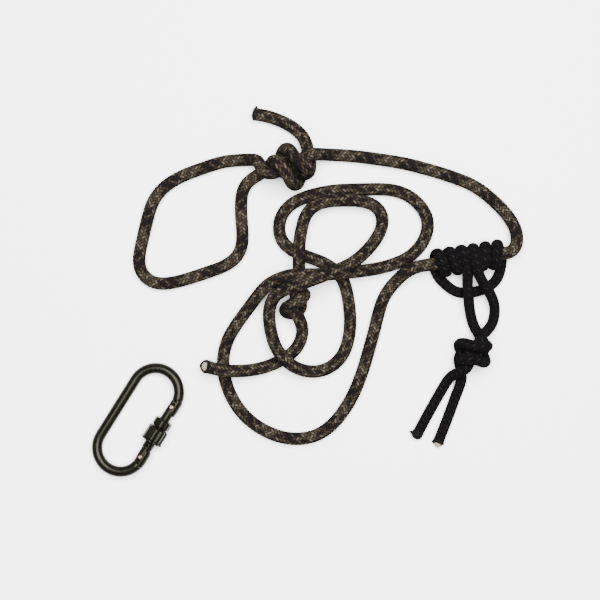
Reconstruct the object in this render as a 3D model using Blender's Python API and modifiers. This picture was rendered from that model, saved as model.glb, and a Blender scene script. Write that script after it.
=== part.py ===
"""Tree-stand climbing rope set, lying flat on a floor.

A camouflage safety rope carries a fixed loop, a stopper knot and a black cord tied round it as a
friction hitch. An oval screw-lock carabiner lies beside it. Units are metres and +Z is up. The
origin is on the floor under the middle of the set.
"""

import math

import bmesh
import bpy
from mathutils import Euler, Matrix, Vector

# ---------------------------------------------------------------- driving dimensions
GAP = 0.0003  # clearance between neighbouring pieces

ROPE_RADIUS = 0.0056
ROPE_SPACING = 0.022  # distance between the rings of a rope tube
HUMP_SPACING = 0.013  # closer rings where the rope climbs over itself or turns sharply
ROPE_SIDES = 3  # bevel resolution of the rope tubes
END_RUN = 0.002  # straight run that squares each end of a tube to the rope's own direction
CORD_RADIUS = 0.0047
CORD_SPACING = 0.014
SEAL_LENGTH = 0.0022
ROPE_CORE_RADIUS = 0.0048
CORD_CORE_RADIUS = 0.0040
CORE_LENGTH = 0.0012

# Rounded lobes of each knot: centre, half sizes, and turn about Z in degrees.
LOOP_KNOT_LOBES = [
    ((-0.0123, 0.1097, 0.0148), (0.0225, 0.0135, 0.0145), 18.0),
    ((-0.0223, 0.0987, 0.0115), (0.0135, 0.0105, 0.0110), -25.0),
    ((-0.0128, 0.1082, 0.0265), (0.0180, 0.0150, 0.0170), 20.0),
]
STOPPER_KNOT_LOBES = [
    ((-0.0098, -0.0106, 0.0112), (0.0148, 0.0088, 0.0108), 0.0),
    ((-0.0143, -0.0136, 0.0095), (0.0095, 0.0075, 0.0090), 0.0),
]
JOINING_KNOT_LOBES = [
    ((0.1517, -0.0500, 0.0112), (0.0125, 0.0105, 0.0108), 0.0),
    ((0.1402, -0.0550, 0.0108), (0.0120, 0.0105, 0.0105), 25.0),
    ((0.1458, -0.0532, 0.0225), (0.0135, 0.0110, 0.0130), 15.0),
]

# The hitch turns lie round a straight part of the rope.
HITCH_CENTRE = Vector((0.1413, 0.0289, 0.0134))
HITCH_ANGLE = math.radians(8.5)
HITCH_BORE = 0.0061
TURN_OUTER = 0.0133
TURN_PITCH = 0.0107
TURN_INNERMOST = 0.0068
GRIPPED_HALF_LENGTH = 0.0345

# The carabiner is modelled upright in its own frame: X across, Y along, Z through.
ROD_RADIUS = 0.0047
ARC_RADIUS = 0.0211
ARC_CENTRE_Y = 0.0287
ROD_END_ANGLE = 6.0
GATE_X = 0.0201
PIN_Y = 0.0257
PIN_RADIUS = 0.0015
PIN_HOLE_RADIUS = 0.0018
PIN_HEAD_RADIUS = 0.0023
GATE_RADIUS = 0.0043
NOSE_RADIUS = 0.0044
BARREL_RADIUS = 0.0050
TANG_THICKNESS = 0.0030
LUG_THICKNESS = 0.0060
SLOT_THICKNESS = 0.0036
HINGE_SLOT_Y = 0.0202
NOSE_SLOT_Y = -0.0201
BORE_RADIUS = 0.0024
BORE_LENGTH = 0.0155
BORE_MIDDLE_Y = 0.0132
SPRING_TURNS = 6
SPRING_LOW_Y = 0.0063
SPRING_HIGH_Y = 0.0142
SPRING_RADIUS = 0.00175
SPRING_WIRE = 0.0003
CARABINER_PLACE = Vector((-0.1485, -0.1125, 0.00752))
CARABINER_TURN = math.radians(-32.1)
CARABINER_TILT = math.radians(-7.4)

# Outlines of the forged additions at the rod's two ends.
HINGE_TANG = [
    (0.0164, 0.0335), (0.0164, 0.024), (0.0171, 0.0216),
    (0.0231, 0.0216), (0.0242, 0.024), (0.0242, 0.0335),
]
NOSE_TANG = [
    (0.0164, -0.0335), (0.0242, -0.0335), (0.0242, -0.0209), (0.0175, -0.0209), (0.0162, -0.0222),
    (0.0162, -0.0238), (0.0214, -0.0238), (0.0220, -0.0246), (0.0220, -0.0268), (0.0214, -0.0276),
    (0.0162, -0.0276),
]
HINGE_LUG = [
    (0.0215, 0.0350), (0.0215, 0.0311), (0.0249, 0.0309), (0.0249, 0.0190), (0.0253, 0.0183),
    (0.0258, 0.0195), (0.0262, 0.0270), (0.0253, 0.0350),
]
NOSE_LUG = [
    (0.0215, -0.0350), (0.0253, -0.0350), (0.0265, -0.0270), (0.0262, -0.0190), (0.0255, -0.0176),
    (0.0249, -0.0180), (0.0249, -0.0309), (0.0215, -0.0311),
]

# Turned pieces on the gate: (radius, height along the gate).
COLLAR_PROFILE = [
    (0.00465, 0.0125), (0.0074, 0.0125), (0.0081, 0.0117),
    (0.0081, 0.0058), (0.0074, 0.0050), (0.00465, 0.0050),
]
NUT_PROFILE = [
    (0.00535, 0.0042), (0.0080, 0.0042), (0.00925, 0.0028), (0.00925, -0.0078), (0.0100, -0.0083),
    (0.0100, -0.0094), (0.0096, -0.0097), (0.0076, -0.0097), (0.0076, -0.0036), (0.00535, -0.0036),
]
RING_PROFILE = [
    (0.0056, -0.0040), (0.0072, -0.0040), (0.0073, -0.0045), (0.0072, -0.0050), (0.0056, -0.0050),
]
PLUNGER_PROFILE = [
    (0.0, 0.02125), (0.0009, 0.0211), (0.0016, 0.0206), (0.0019, 0.0198), (0.0019, 0.0158), (0.0, 0.0158),
]

# ---------------------------------------------------------------- routes, in the order the rope runs
TAIL_ROUTE = [
    (-0.0457, 0.1565, 0.0056), (-0.0318, 0.1537, 0.0056), (-0.0153, 0.1467, 0.0056),
    (-0.0038, 0.1372, 0.0065), (0.0007, 0.1277, 0.009),
]
LOOP_ROUTE = [
    (-0.0378, 0.1147, 0.0125), (-0.0448, 0.116, 0.0095), (-0.0562, 0.116, 0.006), (-0.0688, 0.1152, 0.0056),
    (-0.0808, 0.1125, 0.0056), (-0.0932, 0.1082, 0.0056),
    (-0.1058, 0.1037, 0.0056), (-0.1178, 0.0977, 0.0056),
    (-0.1266, 0.0912, 0.0056), (-0.1337, 0.0826, 0.0056), (-0.1381, 0.0727, 0.0056),
    (-0.1408, 0.0622, 0.0056), (-0.1434, 0.0517, 0.0056), (-0.1456, 0.0417, 0.0056),
    (-0.1478, 0.0312, 0.0056), (-0.1473, 0.0217, 0.0056), (-0.1428, 0.0132, 0.0056),
    (-0.1343, 0.0079, 0.0056), (-0.1238, 0.0072, 0.0056), (-0.1118, 0.0095, 0.0056),
    (-0.0993, 0.0132, 0.0056), (-0.0868, 0.0175, 0.0056), (-0.0748, 0.0217, 0.0056),
    (-0.0643, 0.0282, 0.0056), (-0.0583, 0.0367, 0.0056), (-0.0566, 0.0467, 0.0056),
    (-0.057, 0.0567, 0.0056), (-0.0578, 0.0667, 0.0056), (-0.058, 0.0767, 0.0056),
    (-0.0573, 0.0862, 0.0056), (-0.0538, 0.0947, 0.0056),
    (-0.0468, 0.1007, 0.0056), (-0.0413, 0.1027, 0.006),
]
UPPER_ROUTE = [
    (0.0117, 0.1204, 0.0105), (0.0232, 0.1205, 0.0068), (0.0352, 0.1199, 0.0056), (0.0476, 0.1187, 0.0056),
    (0.0678, 0.116, 0.0056), (0.0881, 0.1125, 0.0056), (0.1083, 0.1072, 0.0056), (0.1286, 0.1009, 0.0056),
    (0.1462, 0.0937, 0.0056), (0.1594, 0.0844, 0.0056), (0.1708, 0.0738, 0.0062), (0.1792, 0.0632, 0.0075),
    (0.1835, 0.0537, 0.0095), (0.1844, 0.046, 0.0112), (0.183, 0.0394, 0.0126), (0.1787, 0.0346, 0.0133),
]
SWEEP_ROUTE = [
    (0.0957, 0.0218, 0.0134), (0.0852, 0.016, 0.0114), (0.0749, 0.0057, 0.0075), (0.0675, -0.0054, 0.0056),
    (0.0629, -0.0195, 0.0056), (0.059, -0.0353, 0.0056), (0.0541, -0.0529, 0.0056),
    (0.0485, -0.0714, 0.0056), (0.0406, -0.0908, 0.0056), (0.031, -0.1066, 0.0056),
    (0.0203, -0.1188, 0.0056), (0.0071, -0.1268, 0.0056), (-0.007, -0.1295, 0.0056),
    (-0.0202, -0.1284, 0.0056), (-0.0334, -0.124, 0.0056), (-0.0466, -0.1163, 0.0056),
    (-0.0578, -0.1057, 0.0056), (-0.0659, -0.0934, 0.0056), (-0.0713, -0.08, 0.0056),
    (-0.0738, -0.0661, 0.0056), (-0.073, -0.0529, 0.0056), (-0.0686, -0.0397, 0.006),
    (-0.061, -0.0274, 0.007), (-0.0527, -0.0161, 0.0085), (-0.0439, -0.0045, 0.0115),
    (-0.0351, 0.0056, 0.0160), (-0.0237, 0.0118, 0.0205), (-0.0122, 0.0148, 0.0226),
]
RIGHT_LOOP_ROUTE = [
    (0.0027, 0.015, 0.0219), (0.0159, 0.015, 0.0192), (0.0335, 0.0166, 0.0178), (0.0497, 0.0184, 0.0140),
    (0.0643, 0.021, 0.0085), (0.0775, 0.0248, 0.0058), (0.0902, 0.0309, 0.0056), (0.1, 0.0404, 0.0056),
    (0.1054, 0.0509, 0.0056), (0.1065, 0.0615, 0.0056), (0.1032, 0.0712, 0.0056), (0.0962, 0.0794, 0.0056),
    (0.087, 0.086, 0.0056), (0.0749, 0.0896, 0.0056), (0.0617, 0.0904, 0.0056), (0.0476, 0.0901, 0.0056),
    (0.0344, 0.0898, 0.0056), (0.0212, 0.0888, 0.0056), (0.0104, 0.0868, 0.0056), (-0.0008, 0.0836, 0.0056),
    (-0.0114, 0.0788, 0.0056), (-0.0193, 0.072, 0.0056), (-0.0235, 0.0641, 0.0056),
    (-0.0248, 0.0562, 0.0056), (-0.0235, 0.0483, 0.0056), (-0.0193, 0.0412, 0.0056),
    (-0.0114, 0.0356, 0.0056), (-0.0008, 0.0314, 0.0056),
    (0.0106, 0.0274, 0.0056), (0.0212, 0.0219, 0.0056),
    (0.0291, 0.0146, 0.0056), (0.0337, 0.0057, 0.0056), (0.0363, -0.0056, 0.0056),
]
INNER_LOOP_ROUTE = [
    (0.0379, -0.0195, 0.0056), (0.0379, -0.0327, 0.0056), (0.0353, -0.0469, 0.0056),
    (0.0298, -0.0582, 0.0056), (0.0205, -0.0664, 0.0056), (0.0098, -0.0701, 0.0064),
    (-0.0008, -0.0696, 0.0102), (-0.0116, -0.0654, 0.0156),
    (-0.0202, -0.0582, 0.0178), (-0.0272, -0.0485, 0.0160),
    (-0.031, -0.0376, 0.0135), (-0.033, -0.0256, 0.0132), (-0.0328, -0.0142, 0.0165),
    (-0.0287, -0.0045, 0.0212), (-0.0202, 0.0016, 0.0262),
    (-0.0096, 0.0052, 0.0302), (0.0027, 0.0094, 0.0330),
    (0.0159, 0.0146, 0.0318), (0.0335, 0.0219, 0.0287), (0.0426, 0.0274, 0.0240),
    (0.0511, 0.0349, 0.0174), (0.059, 0.0439, 0.0115),
]
RETURN_ROUTE = [
    (0.065, 0.0544, 0.0082), (0.0668, 0.0644, 0.0072), (0.063, 0.0728, 0.0082), (0.055, 0.0778, 0.0105),
    (0.0441, 0.0798, 0.0128), (0.0335, 0.08, 0.0134), (0.0227, 0.0796, 0.0137), (0.013, 0.078, 0.0138),
    (0.0042, 0.0737, 0.0136), (-0.0018, 0.0657, 0.0128),
    (-0.0048, 0.0544, 0.0128), (-0.0066, 0.0432, 0.0170),
    (-0.007, 0.0342, 0.0190), (-0.007, 0.0267, 0.0160), (-0.007, 0.0187, 0.0106), (-0.0072, 0.0102, 0.0078),
    (-0.0076, 0.0027, 0.0074),
]
FREE_END_ROUTE = [
    (-0.005, -0.0248, 0.0072), (-0.0036, -0.0348, 0.0056), (-0.007, -0.0466, 0.0056),
    (-0.0146, -0.0552, 0.0056), (-0.0237, -0.0608, 0.0056), (-0.036, -0.066, 0.0068),
    (-0.0498, -0.0688, 0.0112), (-0.0633, -0.0693, 0.0163),
    (-0.0748, -0.0683, 0.0180), (-0.0884, -0.0652, 0.0172),
]
BRIDGE_ROUTE = [
    (0.119, 0.011, 0.0049), (0.1225, 0.0064, 0.0048), (0.1282, 0.0012, 0.0048), (0.1356, -0.0012, 0.0048),
    (0.1435, -0.001, 0.0048), (0.1514, 0.0006, 0.0048), (0.1602, 0.0045, 0.0048),
    (0.167, 0.01, 0.0048), (0.171, 0.018, 0.005),
]
LEFT_LEG_ROUTE = [
    (0.1387, 0.0132, 0.0160), (0.1402, 0.0057, 0.0158),
    (0.1408, -0.0018, 0.0156), (0.1418, -0.0098, 0.0122),
    (0.1435, -0.0183, 0.0067), (0.1454, -0.0263, 0.0052), (0.1472, -0.0343, 0.0065),
]
RIGHT_LEG_ROUTE = [
    (0.1499, 0.013, 0.0160), (0.1544, 0.0064, 0.0158), (0.1589, 0.0002, 0.0155), (0.163, -0.0068, 0.0120),
    (0.1654, -0.0163, 0.0064), (0.164, -0.0263, 0.005), (0.1598, -0.0353, 0.0065),
]
LEFT_TAIL_ROUTE = [
    (0.1282, -0.071, 0.0056), (0.1224, -0.0802, 0.0048),
    (0.1092, -0.1031, 0.0048), (0.0969, -0.126, 0.0048),
]
RIGHT_TAIL_ROUTE = [
    (0.1376, -0.072, 0.0090), (0.1354, -0.0808, 0.0058),
    (0.1314, -0.0908, 0.0048), (0.1247, -0.1093, 0.0048),
    (0.1154, -0.133, 0.0048),
]


# ---------------------------------------------------------------- scene helpers
def clear_scene():
    for obj in list(bpy.data.objects):
        bpy.data.objects.remove(obj, do_unlink=True)


def new_collection(name):
    collection = bpy.data.collections.new(name)
    bpy.context.scene.collection.children.link(collection)
    return collection


def new_material(name, colour, roughness, metallic):
    material = bpy.data.materials.new(name)
    material.use_nodes = True
    shader = material.node_tree.nodes["Principled BSDF"]
    shader.inputs["Base Color"].default_value = (*colour, 1.0)
    shader.inputs["Roughness"].default_value = roughness
    shader.inputs["Metallic"].default_value = metallic
    return material


def add_object(name, data, material=None, parent=None):
    obj = bpy.data.objects.new(name, data)
    PARTS.objects.link(obj)
    if material is not None:
        data.materials.append(material)
    obj.parent = parent
    return obj


def to_mesh(obj, material=None):
    """Replace an object by its evaluated mesh, welded, at the same place."""
    bpy.context.view_layer.update()
    evaluated = obj.evaluated_get(bpy.context.evaluated_depsgraph_get())
    mesh = bpy.data.meshes.new_from_object(evaluated)
    mesh.materials.clear()
    welded = bmesh.new()
    welded.from_mesh(mesh)
    bmesh.ops.remove_doubles(welded, verts=welded.verts, dist=0.00001)
    welded.to_mesh(mesh)
    welded.free()
    name = obj.name
    parent = obj.parent
    place = obj.matrix_local.copy()
    bpy.data.objects.remove(obj, do_unlink=True)
    result = add_object(name, mesh, material, parent)
    result.matrix_local = place
    return result


def combine(obj, other, operation):
    """Join another solid to an object, or cut it away, and drop the other solid."""
    modifier = obj.modifiers.new(operation.lower(), "BOOLEAN")
    modifier.operation = operation
    modifier.solver = "EXACT"
    modifier.object = other
    material = obj.data.materials[0] if obj.data.materials else None
    result = to_mesh(obj, material)
    bpy.data.objects.remove(other, do_unlink=True)
    return result


def shade_round(obj, angle=35.0):
    obj.data.shade_smooth()
    obj.data.set_sharp_from_angle(angle=math.radians(angle))


# ---------------------------------------------------------------- shape helpers
def smooth_curve(points, steps=24):
    """Catmull-Rom curve through the points, as closely spaced positions."""
    route = [Vector(point) for point in points]
    ends = [2 * route[0] - route[1], *route, 2 * route[-1] - route[-2]]
    curve = []
    for index in range(len(route) - 1):
        a, b, c, d = ends[index : index + 4]
        for step in range(steps):
            t = step / steps
            curve.append(
                0.5
                * (2 * b + (c - a) * t + (2 * a - 5 * b + 4 * c - d) * t**2 + (3 * b - a - 3 * c + d) * t**3)
            )
    curve.append(route[-1])
    return curve


def measured(curve):
    """Length of the curve up to each of its positions."""
    lengths = [0.0]
    for before, after in zip(curve, curve[1:]):
        lengths.append(lengths[-1] + (after - before).length)
    return lengths


def position_at(curve, lengths, distance):
    for index in range(1, len(curve)):
        if lengths[index] >= distance:
            share = (distance - lengths[index - 1]) / (lengths[index] - lengths[index - 1])
            return curve[index - 1].lerp(curve[index], share)
    return curve[-1]


def tube_positions(curve, start, end, spacing):
    """Positions along the curve about one spacing apart, with a short square run at each end."""
    lengths = measured(curve)
    inner_start = start + END_RUN
    inner_end = end - END_RUN
    count = max(1, round((inner_end - inner_start) / spacing))
    distances = [inner_start + (inner_end - inner_start) * i / count for i in range(count + 1)]
    return [position_at(curve, lengths, distance) for distance in (start, *distances, end)]


def tube(name, positions, radius, material, parent=None, resolution=ROPE_SIDES):
    data = bpy.data.curves.new(name, "CURVE")
    data.dimensions = "3D"
    data.bevel_depth = radius
    data.bevel_resolution = resolution
    data.use_fill_caps = True
    spline = data.splines.new("POLY")
    spline.points.add(len(positions) - 1)
    for point, position in zip(spline.points, positions):
        point.co = (*position, 1.0)
    return add_object(name, data, material, parent)


def rope_run(stretches, radius, material):
    """Tubes along one smooth curve, each node taking its own stretch of it."""
    route = [point for _, points, _ in stretches for point in points]
    curve = smooth_curve(route)
    lengths = measured(curve)
    steps = (len(curve) - 1) // (len(route) - 1)
    first = 0
    for name, points, spacing in stretches:
        last = min(first + len(points), len(route) - 1)
        start = lengths[first * steps] + GAP
        end = lengths[last * steps] - GAP
        tube(name, tube_positions(curve, start, end, spacing), radius, material)
        first = last


def plate(name, outline, thickness, material=None, parent=None):
    """Flat outline in X and Y, extruded evenly to both sides of Z."""
    data = bpy.data.curves.new(name, "CURVE")
    data.dimensions = "2D"
    data.fill_mode = "BOTH"
    data.extrude = thickness / 2
    spline = data.splines.new("POLY")
    spline.points.add(len(outline) - 1)
    for point, (x, y) in zip(spline.points, outline):
        point.co = (x, y, 0.0, 1.0)
    spline.use_cyclic_u = True
    return to_mesh(add_object(name, data, material, parent), material)


def cylinder(name, radius, length, segments=16, material=None, parent=None):
    """Cylinder along Z, centred on its own origin."""
    shape = bmesh.new()
    bmesh.ops.create_cone(
        shape, cap_ends=True, segments=segments, radius1=radius, radius2=radius, depth=length
    )
    mesh = bpy.data.meshes.new(name)
    shape.to_mesh(mesh)
    shape.free()
    return add_object(name, mesh, material, parent)


def box(name, low, high, parent=None):
    shape = bmesh.new()
    bmesh.ops.create_cube(shape, size=1.0)
    size = Vector(high) - Vector(low)
    middle = (Vector(high) + Vector(low)) / 2
    place = Matrix.Translation(middle) @ Matrix.Diagonal((*size, 1.0))
    bmesh.ops.transform(shape, matrix=place, verts=shape.verts)
    mesh = bpy.data.meshes.new(name)
    shape.to_mesh(mesh)
    shape.free()
    return add_object(name, mesh, parent=parent)


def turned(name, profile, steps, material=None, parent=None, closed=False):
    """Profile of (radius, height) pairs, turned about Z. It runs down the outer side."""
    mesh = bpy.data.meshes.new(name)
    edges = [(i, i + 1) for i in range(len(profile) - 1)]
    if closed:
        edges.append((len(profile) - 1, 0))
    mesh.from_pydata([(radius, 0.0, height) for radius, height in profile], edges, [])
    obj = add_object(name, mesh, material, parent)
    screw = obj.modifiers.new("turn", "SCREW")
    screw.axis = "Z"
    screw.steps = steps
    screw.render_steps = steps
    screw.use_merge_vertices = True
    screw.merge_threshold = 0.00001
    result = to_mesh(obj, material)
    shade_round(result)
    return result


def ellipsoid(name, centre, half_sizes, turn=0.0):
    shape = bmesh.new()
    bmesh.ops.create_uvsphere(shape, u_segments=16, v_segments=10, radius=1.0)
    mesh = bpy.data.meshes.new(name)
    shape.to_mesh(mesh)
    shape.free()
    obj = add_object(name, mesh)
    obj.scale = half_sizes
    obj.rotation_euler = (0.0, 0.0, math.radians(turn))
    obj.location = centre
    return obj


def knot_lump(name, lobes, material):
    """A knot's outer shape: several rounded lobes joined into one solid."""
    pieces = [ellipsoid(f"{name}_lobe_{i}", *lobe) for i, lobe in enumerate(lobes)]
    body = to_mesh(pieces[0], material)
    for piece in pieces[1:]:
        body = combine(body, to_mesh(piece), "UNION")
    body.name = name
    shade_round(body, 50.0)
    return body


def end_disc(name, end, before, radius, length, material):
    """Short disc on a cut end, square to the last run of the rope."""
    direction = (Vector(end) - Vector(before)).normalized()
    disc = cylinder(name, radius, length, 12, material)
    disc.rotation_euler = direction.to_track_quat("Z", "Y").to_euler()
    disc.location = Vector(end) + direction * (GAP + length / 2)
    return disc


# ---------------------------------------------------------------- safety rope
def gripped_end(sign):
    along = Vector((math.cos(HITCH_ANGLE), math.sin(HITCH_ANGLE), 0.0))
    return HITCH_CENTRE + along * (sign * GRIPPED_HALF_LENGTH)


def make_rope(rope, seal, core):
    entry = gripped_end(1)
    leaving = gripped_end(-1)
    rope_run([("rope_tail", TAIL_ROUTE, ROPE_SPACING)], ROPE_RADIUS, rope)
    rope_run([("rope_fixed_loop", LOOP_ROUTE, ROPE_SPACING)], ROPE_RADIUS, rope)
    rope_run([("rope_upper_run", [*UPPER_ROUTE, entry], ROPE_SPACING)], ROPE_RADIUS, rope)
    inset = (entry - leaving).normalized() * 3 * GAP
    tube("rope_gripped_run", [entry - inset, leaving + inset], ROPE_RADIUS, rope)
    rope_run(
        [
            ("rope_outer_sweep", [leaving, *SWEEP_ROUTE], ROPE_SPACING),
            ("rope_right_loop", RIGHT_LOOP_ROUTE, ROPE_SPACING),
            ("rope_inner_loop", INNER_LOOP_ROUTE, HUMP_SPACING),
            ("rope_return_run", RETURN_ROUTE, HUMP_SPACING),
        ],
        ROPE_RADIUS,
        rope,
    )
    rope_run([("rope_free_end", FREE_END_ROUTE, HUMP_SPACING)], ROPE_RADIUS, rope)
    knot_lump("loop_knot", LOOP_KNOT_LOBES, rope)
    knot_lump("stopper_knot", STOPPER_KNOT_LOBES, rope)
    end_disc("rope_tail_seal", TAIL_ROUTE[0], TAIL_ROUTE[1], ROPE_RADIUS, SEAL_LENGTH, seal)
    end_disc(
        "rope_free_core", FREE_END_ROUTE[-1], FREE_END_ROUTE[-2], ROPE_CORE_RADIUS, CORE_LENGTH, core
    )


# ---------------------------------------------------------------- friction hitch
def lobed_sleeve_profile(offsets):
    """Half-section of several cord turns side by side, from the top turn down."""
    middle = (HITCH_BORE + TURN_OUTER) / 2
    bulge = TURN_OUTER - middle
    width = TURN_PITCH / 2 - GAP / 2
    profile = [(HITCH_BORE, offsets[0] + width * 0.7)]
    for offset in offsets:
        for step in range(7):
            angle = math.pi / 2 - math.pi * step / 6
            profile.append((middle + bulge * math.cos(angle), offset + width * math.sin(angle)))
    profile.append((HITCH_BORE, offsets[-1] - width * 0.7))
    return profile


def make_hitch(cord, seal, core):
    hitch = bpy.data.objects.new("hitch_axis", None)
    PARTS.objects.link(hitch)
    hitch.location = HITCH_CENTRE
    hitch.rotation_euler = (0.0, math.pi / 2, HITCH_ANGLE)
    for side, name in ((-1, "hitch_turns_left"), (1, "hitch_turns_right")):
        offsets = sorted((side * (TURN_INNERMOST + TURN_PITCH * i) for i in range(3)), reverse=True)
        turned(name, lobed_sleeve_profile(offsets), 24, cord, hitch, closed=True)
    for name, route in (
        ("hitch_bridge", BRIDGE_ROUTE),
        ("hitch_leg_left", LEFT_LEG_ROUTE),
        ("hitch_leg_right", RIGHT_LEG_ROUTE),
        ("hitch_tail_left", LEFT_TAIL_ROUTE),
        ("hitch_tail_right", RIGHT_TAIL_ROUTE),
    ):
        rope_run([(name, route, CORD_SPACING)], CORD_RADIUS, cord)
    knot_lump("hitch_joining_knot", JOINING_KNOT_LOBES, cord)
    end_disc(
        "hitch_tail_left_seal", LEFT_TAIL_ROUTE[-1], LEFT_TAIL_ROUTE[-2], CORD_RADIUS, SEAL_LENGTH, seal
    )
    end_disc(
        "hitch_tail_right_core", RIGHT_TAIL_ROUTE[-1], RIGHT_TAIL_ROUTE[-2], CORD_CORE_RADIUS, CORE_LENGTH, core
    )


# ---------------------------------------------------------------- carabiner
def rod_path():
    """Centre line of the bent rod, from the hinge end round the spine to the nose end."""
    path = []
    steps = 16
    arcs = ((ARC_CENTRE_Y, ROD_END_ANGLE, 180.0), (-ARC_CENTRE_Y, 180.0, 360.0 - ROD_END_ANGLE))
    for centre_y, first, last in arcs:
        for step in range(steps + 1):
            angle = math.radians(first + (last - first) * step / steps)
            path.append((ARC_RADIUS * math.cos(angle), centre_y + ARC_RADIUS * math.sin(angle), 0.0))
    return path


def make_frame(steel, carabiner):
    frame = to_mesh(tube("carabiner_frame", rod_path(), ROD_RADIUS, steel, carabiner, 4), steel)
    for outline, thickness in (
        (HINGE_TANG, TANG_THICKNESS),
        (NOSE_TANG, TANG_THICKNESS),
        (HINGE_LUG, LUG_THICKNESS),
        (NOSE_LUG, LUG_THICKNESS),
    ):
        frame = combine(frame, plate("frame_addition", outline, thickness, parent=carabiner), "UNION")
    hole = cylinder("hinge_hole", PIN_HOLE_RADIUS, 0.02, parent=carabiner)
    hole.location = (GATE_X, PIN_Y, 0.0)
    frame = combine(frame, hole, "DIFFERENCE")
    shade_round(frame)
    return frame


def dome(centre, radius, start, end, steps=6):
    """Quarter circle of a rounded end, in the (radius, height) plane."""
    angles = [math.radians(start + (end - start) * i / steps) for i in range(steps + 1)]
    return [(abs(radius * math.cos(a)), centre + radius * math.sin(a)) for a in angles]


def make_gate(steel, gate_pivot):
    profile = [
        *dome(PIN_Y, GATE_RADIUS, 90.0, 0.0),
        (GATE_RADIUS, 0.0047),
        (BARREL_RADIUS, 0.0042),
        (BARREL_RADIUS, -0.0165),
        (NOSE_RADIUS, -0.0171),
        *dome(-PIN_Y, NOSE_RADIUS, 0.0, -90.0),
    ]
    gate = turned("carabiner_gate", profile, 20, steel, gate_pivot)
    place_on_gate(gate)
    gate = cut_slot(gate, HINGE_SLOT_Y, 0.033, gate_pivot)
    gate = cut_slot(gate, -0.033, NOSE_SLOT_Y, gate_pivot)
    for y in (PIN_Y, -PIN_Y):
        hole = cylinder("pin_hole", PIN_HOLE_RADIUS, 0.02, parent=gate_pivot)
        hole.location = (0.0, y - PIN_Y, 0.0)
        gate = combine(gate, hole, "DIFFERENCE")
    bore = cylinder("spring_bore", BORE_RADIUS, BORE_LENGTH, parent=gate_pivot)
    bore.rotation_euler = (math.pi / 2, 0.0, 0.0)
    bore.location = (0.0, BORE_MIDDLE_Y - PIN_Y, 0.0)
    gate = combine(gate, bore, "DIFFERENCE")
    shade_round(gate)
    return gate


def place_on_gate(obj):
    """Place a turned piece on the gate's axis, in the frame of the gate's pivot."""
    obj.rotation_euler = (-math.pi / 2, 0.0, 0.0)
    obj.location = (0.0, -PIN_Y, 0.0)


def cut_slot(gate, low_y, high_y, gate_pivot):
    half = SLOT_THICKNESS / 2
    low = (-0.01, low_y - PIN_Y, -half)
    high = (0.01, high_y - PIN_Y, half)
    return combine(gate, box("gate_slot", low, high, gate_pivot), "DIFFERENCE")


def make_pin(name, place, material, parent):
    """Rivet along Z with a low round head at each end."""
    shank = GATE_RADIUS + GAP / 2
    head = shank + 0.0007
    profile = [
        (0.0, head), (PIN_HEAD_RADIUS * 0.7, head), (PIN_HEAD_RADIUS, shank + 0.0003), (PIN_HEAD_RADIUS, shank),
        (PIN_RADIUS, shank), (PIN_RADIUS, -shank), (PIN_HEAD_RADIUS, -shank),
        (PIN_HEAD_RADIUS, -shank - 0.0003), (PIN_HEAD_RADIUS * 0.7, -head), (0.0, -head),
    ]
    pin = turned(name, profile, 16, material, parent)
    pin.location = place
    return pin


def make_lock(steel, bright, gate_pivot):
    for name, profile, material in (
        ("gate_collar", COLLAR_PROFILE, steel),
        ("lock_nut", NUT_PROFILE, steel),
        ("lock_friction_ring", RING_PROFILE, bright),
    ):
        place_on_gate(turned(name, profile, 28, material, gate_pivot, closed=True))


def make_spring(bright, gate_pivot):
    """Coil spring in the gate's bore, and the plunger that it pushes against the hinge tang."""
    points_per_turn = 10
    steps = SPRING_TURNS * points_per_turn
    coil = []
    for i in range(steps + 1):
        angle = 2 * math.pi * i / points_per_turn
        y = SPRING_LOW_Y + (SPRING_HIGH_Y - SPRING_LOW_Y) * i / steps
        coil.append((SPRING_RADIUS * math.cos(angle), y - PIN_Y, SPRING_RADIUS * math.sin(angle)))
    tube("gate_spring", coil, SPRING_WIRE, bright, gate_pivot, 1)
    place_on_gate(turned("gate_plunger", PLUNGER_PROFILE, 16, bright, gate_pivot))


def make_carabiner(steel, bright, copper):
    carabiner = bpy.data.objects.new("carabiner_place", None)
    PARTS.objects.link(carabiner)
    carabiner.location = CARABINER_PLACE
    carabiner.rotation_euler = Euler((0.0, CARABINER_TILT, CARABINER_TURN), "XYZ")
    gate_pivot = bpy.data.objects.new("gate_pivot", None)
    PARTS.objects.link(gate_pivot)
    gate_pivot.parent = carabiner
    gate_pivot.location = (GATE_X, PIN_Y, 0.0)
    make_frame(steel, carabiner)
    make_pin("hinge_rivet", (GATE_X, PIN_Y, 0.0), copper, carabiner)
    make_gate(steel, gate_pivot)
    make_pin("latch_pin", (0.0, -2 * PIN_Y, 0.0), copper, gate_pivot)
    make_lock(steel, bright, gate_pivot)
    make_spring(bright, gate_pivot)


def main():
    rope = new_material("camo_rope", (0.075, 0.062, 0.045), 0.85, 0.0)
    cord = new_material("black_cord", (0.018, 0.016, 0.018), 0.80, 0.0)
    seal = new_material("melted_end", (0.020, 0.018, 0.016), 0.45, 0.0)
    core = new_material("rope_core", (0.60, 0.56, 0.50), 0.80, 0.0)
    steel = new_material("dark_steel", (0.060, 0.062, 0.052), 0.40, 0.8)
    bright = new_material("bright_steel", (0.55, 0.55, 0.53), 0.30, 1.0)
    copper = new_material("copper_rivet", (0.62, 0.36, 0.28), 0.35, 1.0)
    make_rope(rope, seal, core)
    make_hitch(cord, seal, core)
    make_carabiner(steel, bright, copper)


clear_scene()
PARTS = new_collection("climbing_rope_set")
main()
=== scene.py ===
import math
from functools import partial

import bmesh
import bpy
import numpy as np
from mathutils import Matrix, Vector


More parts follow.
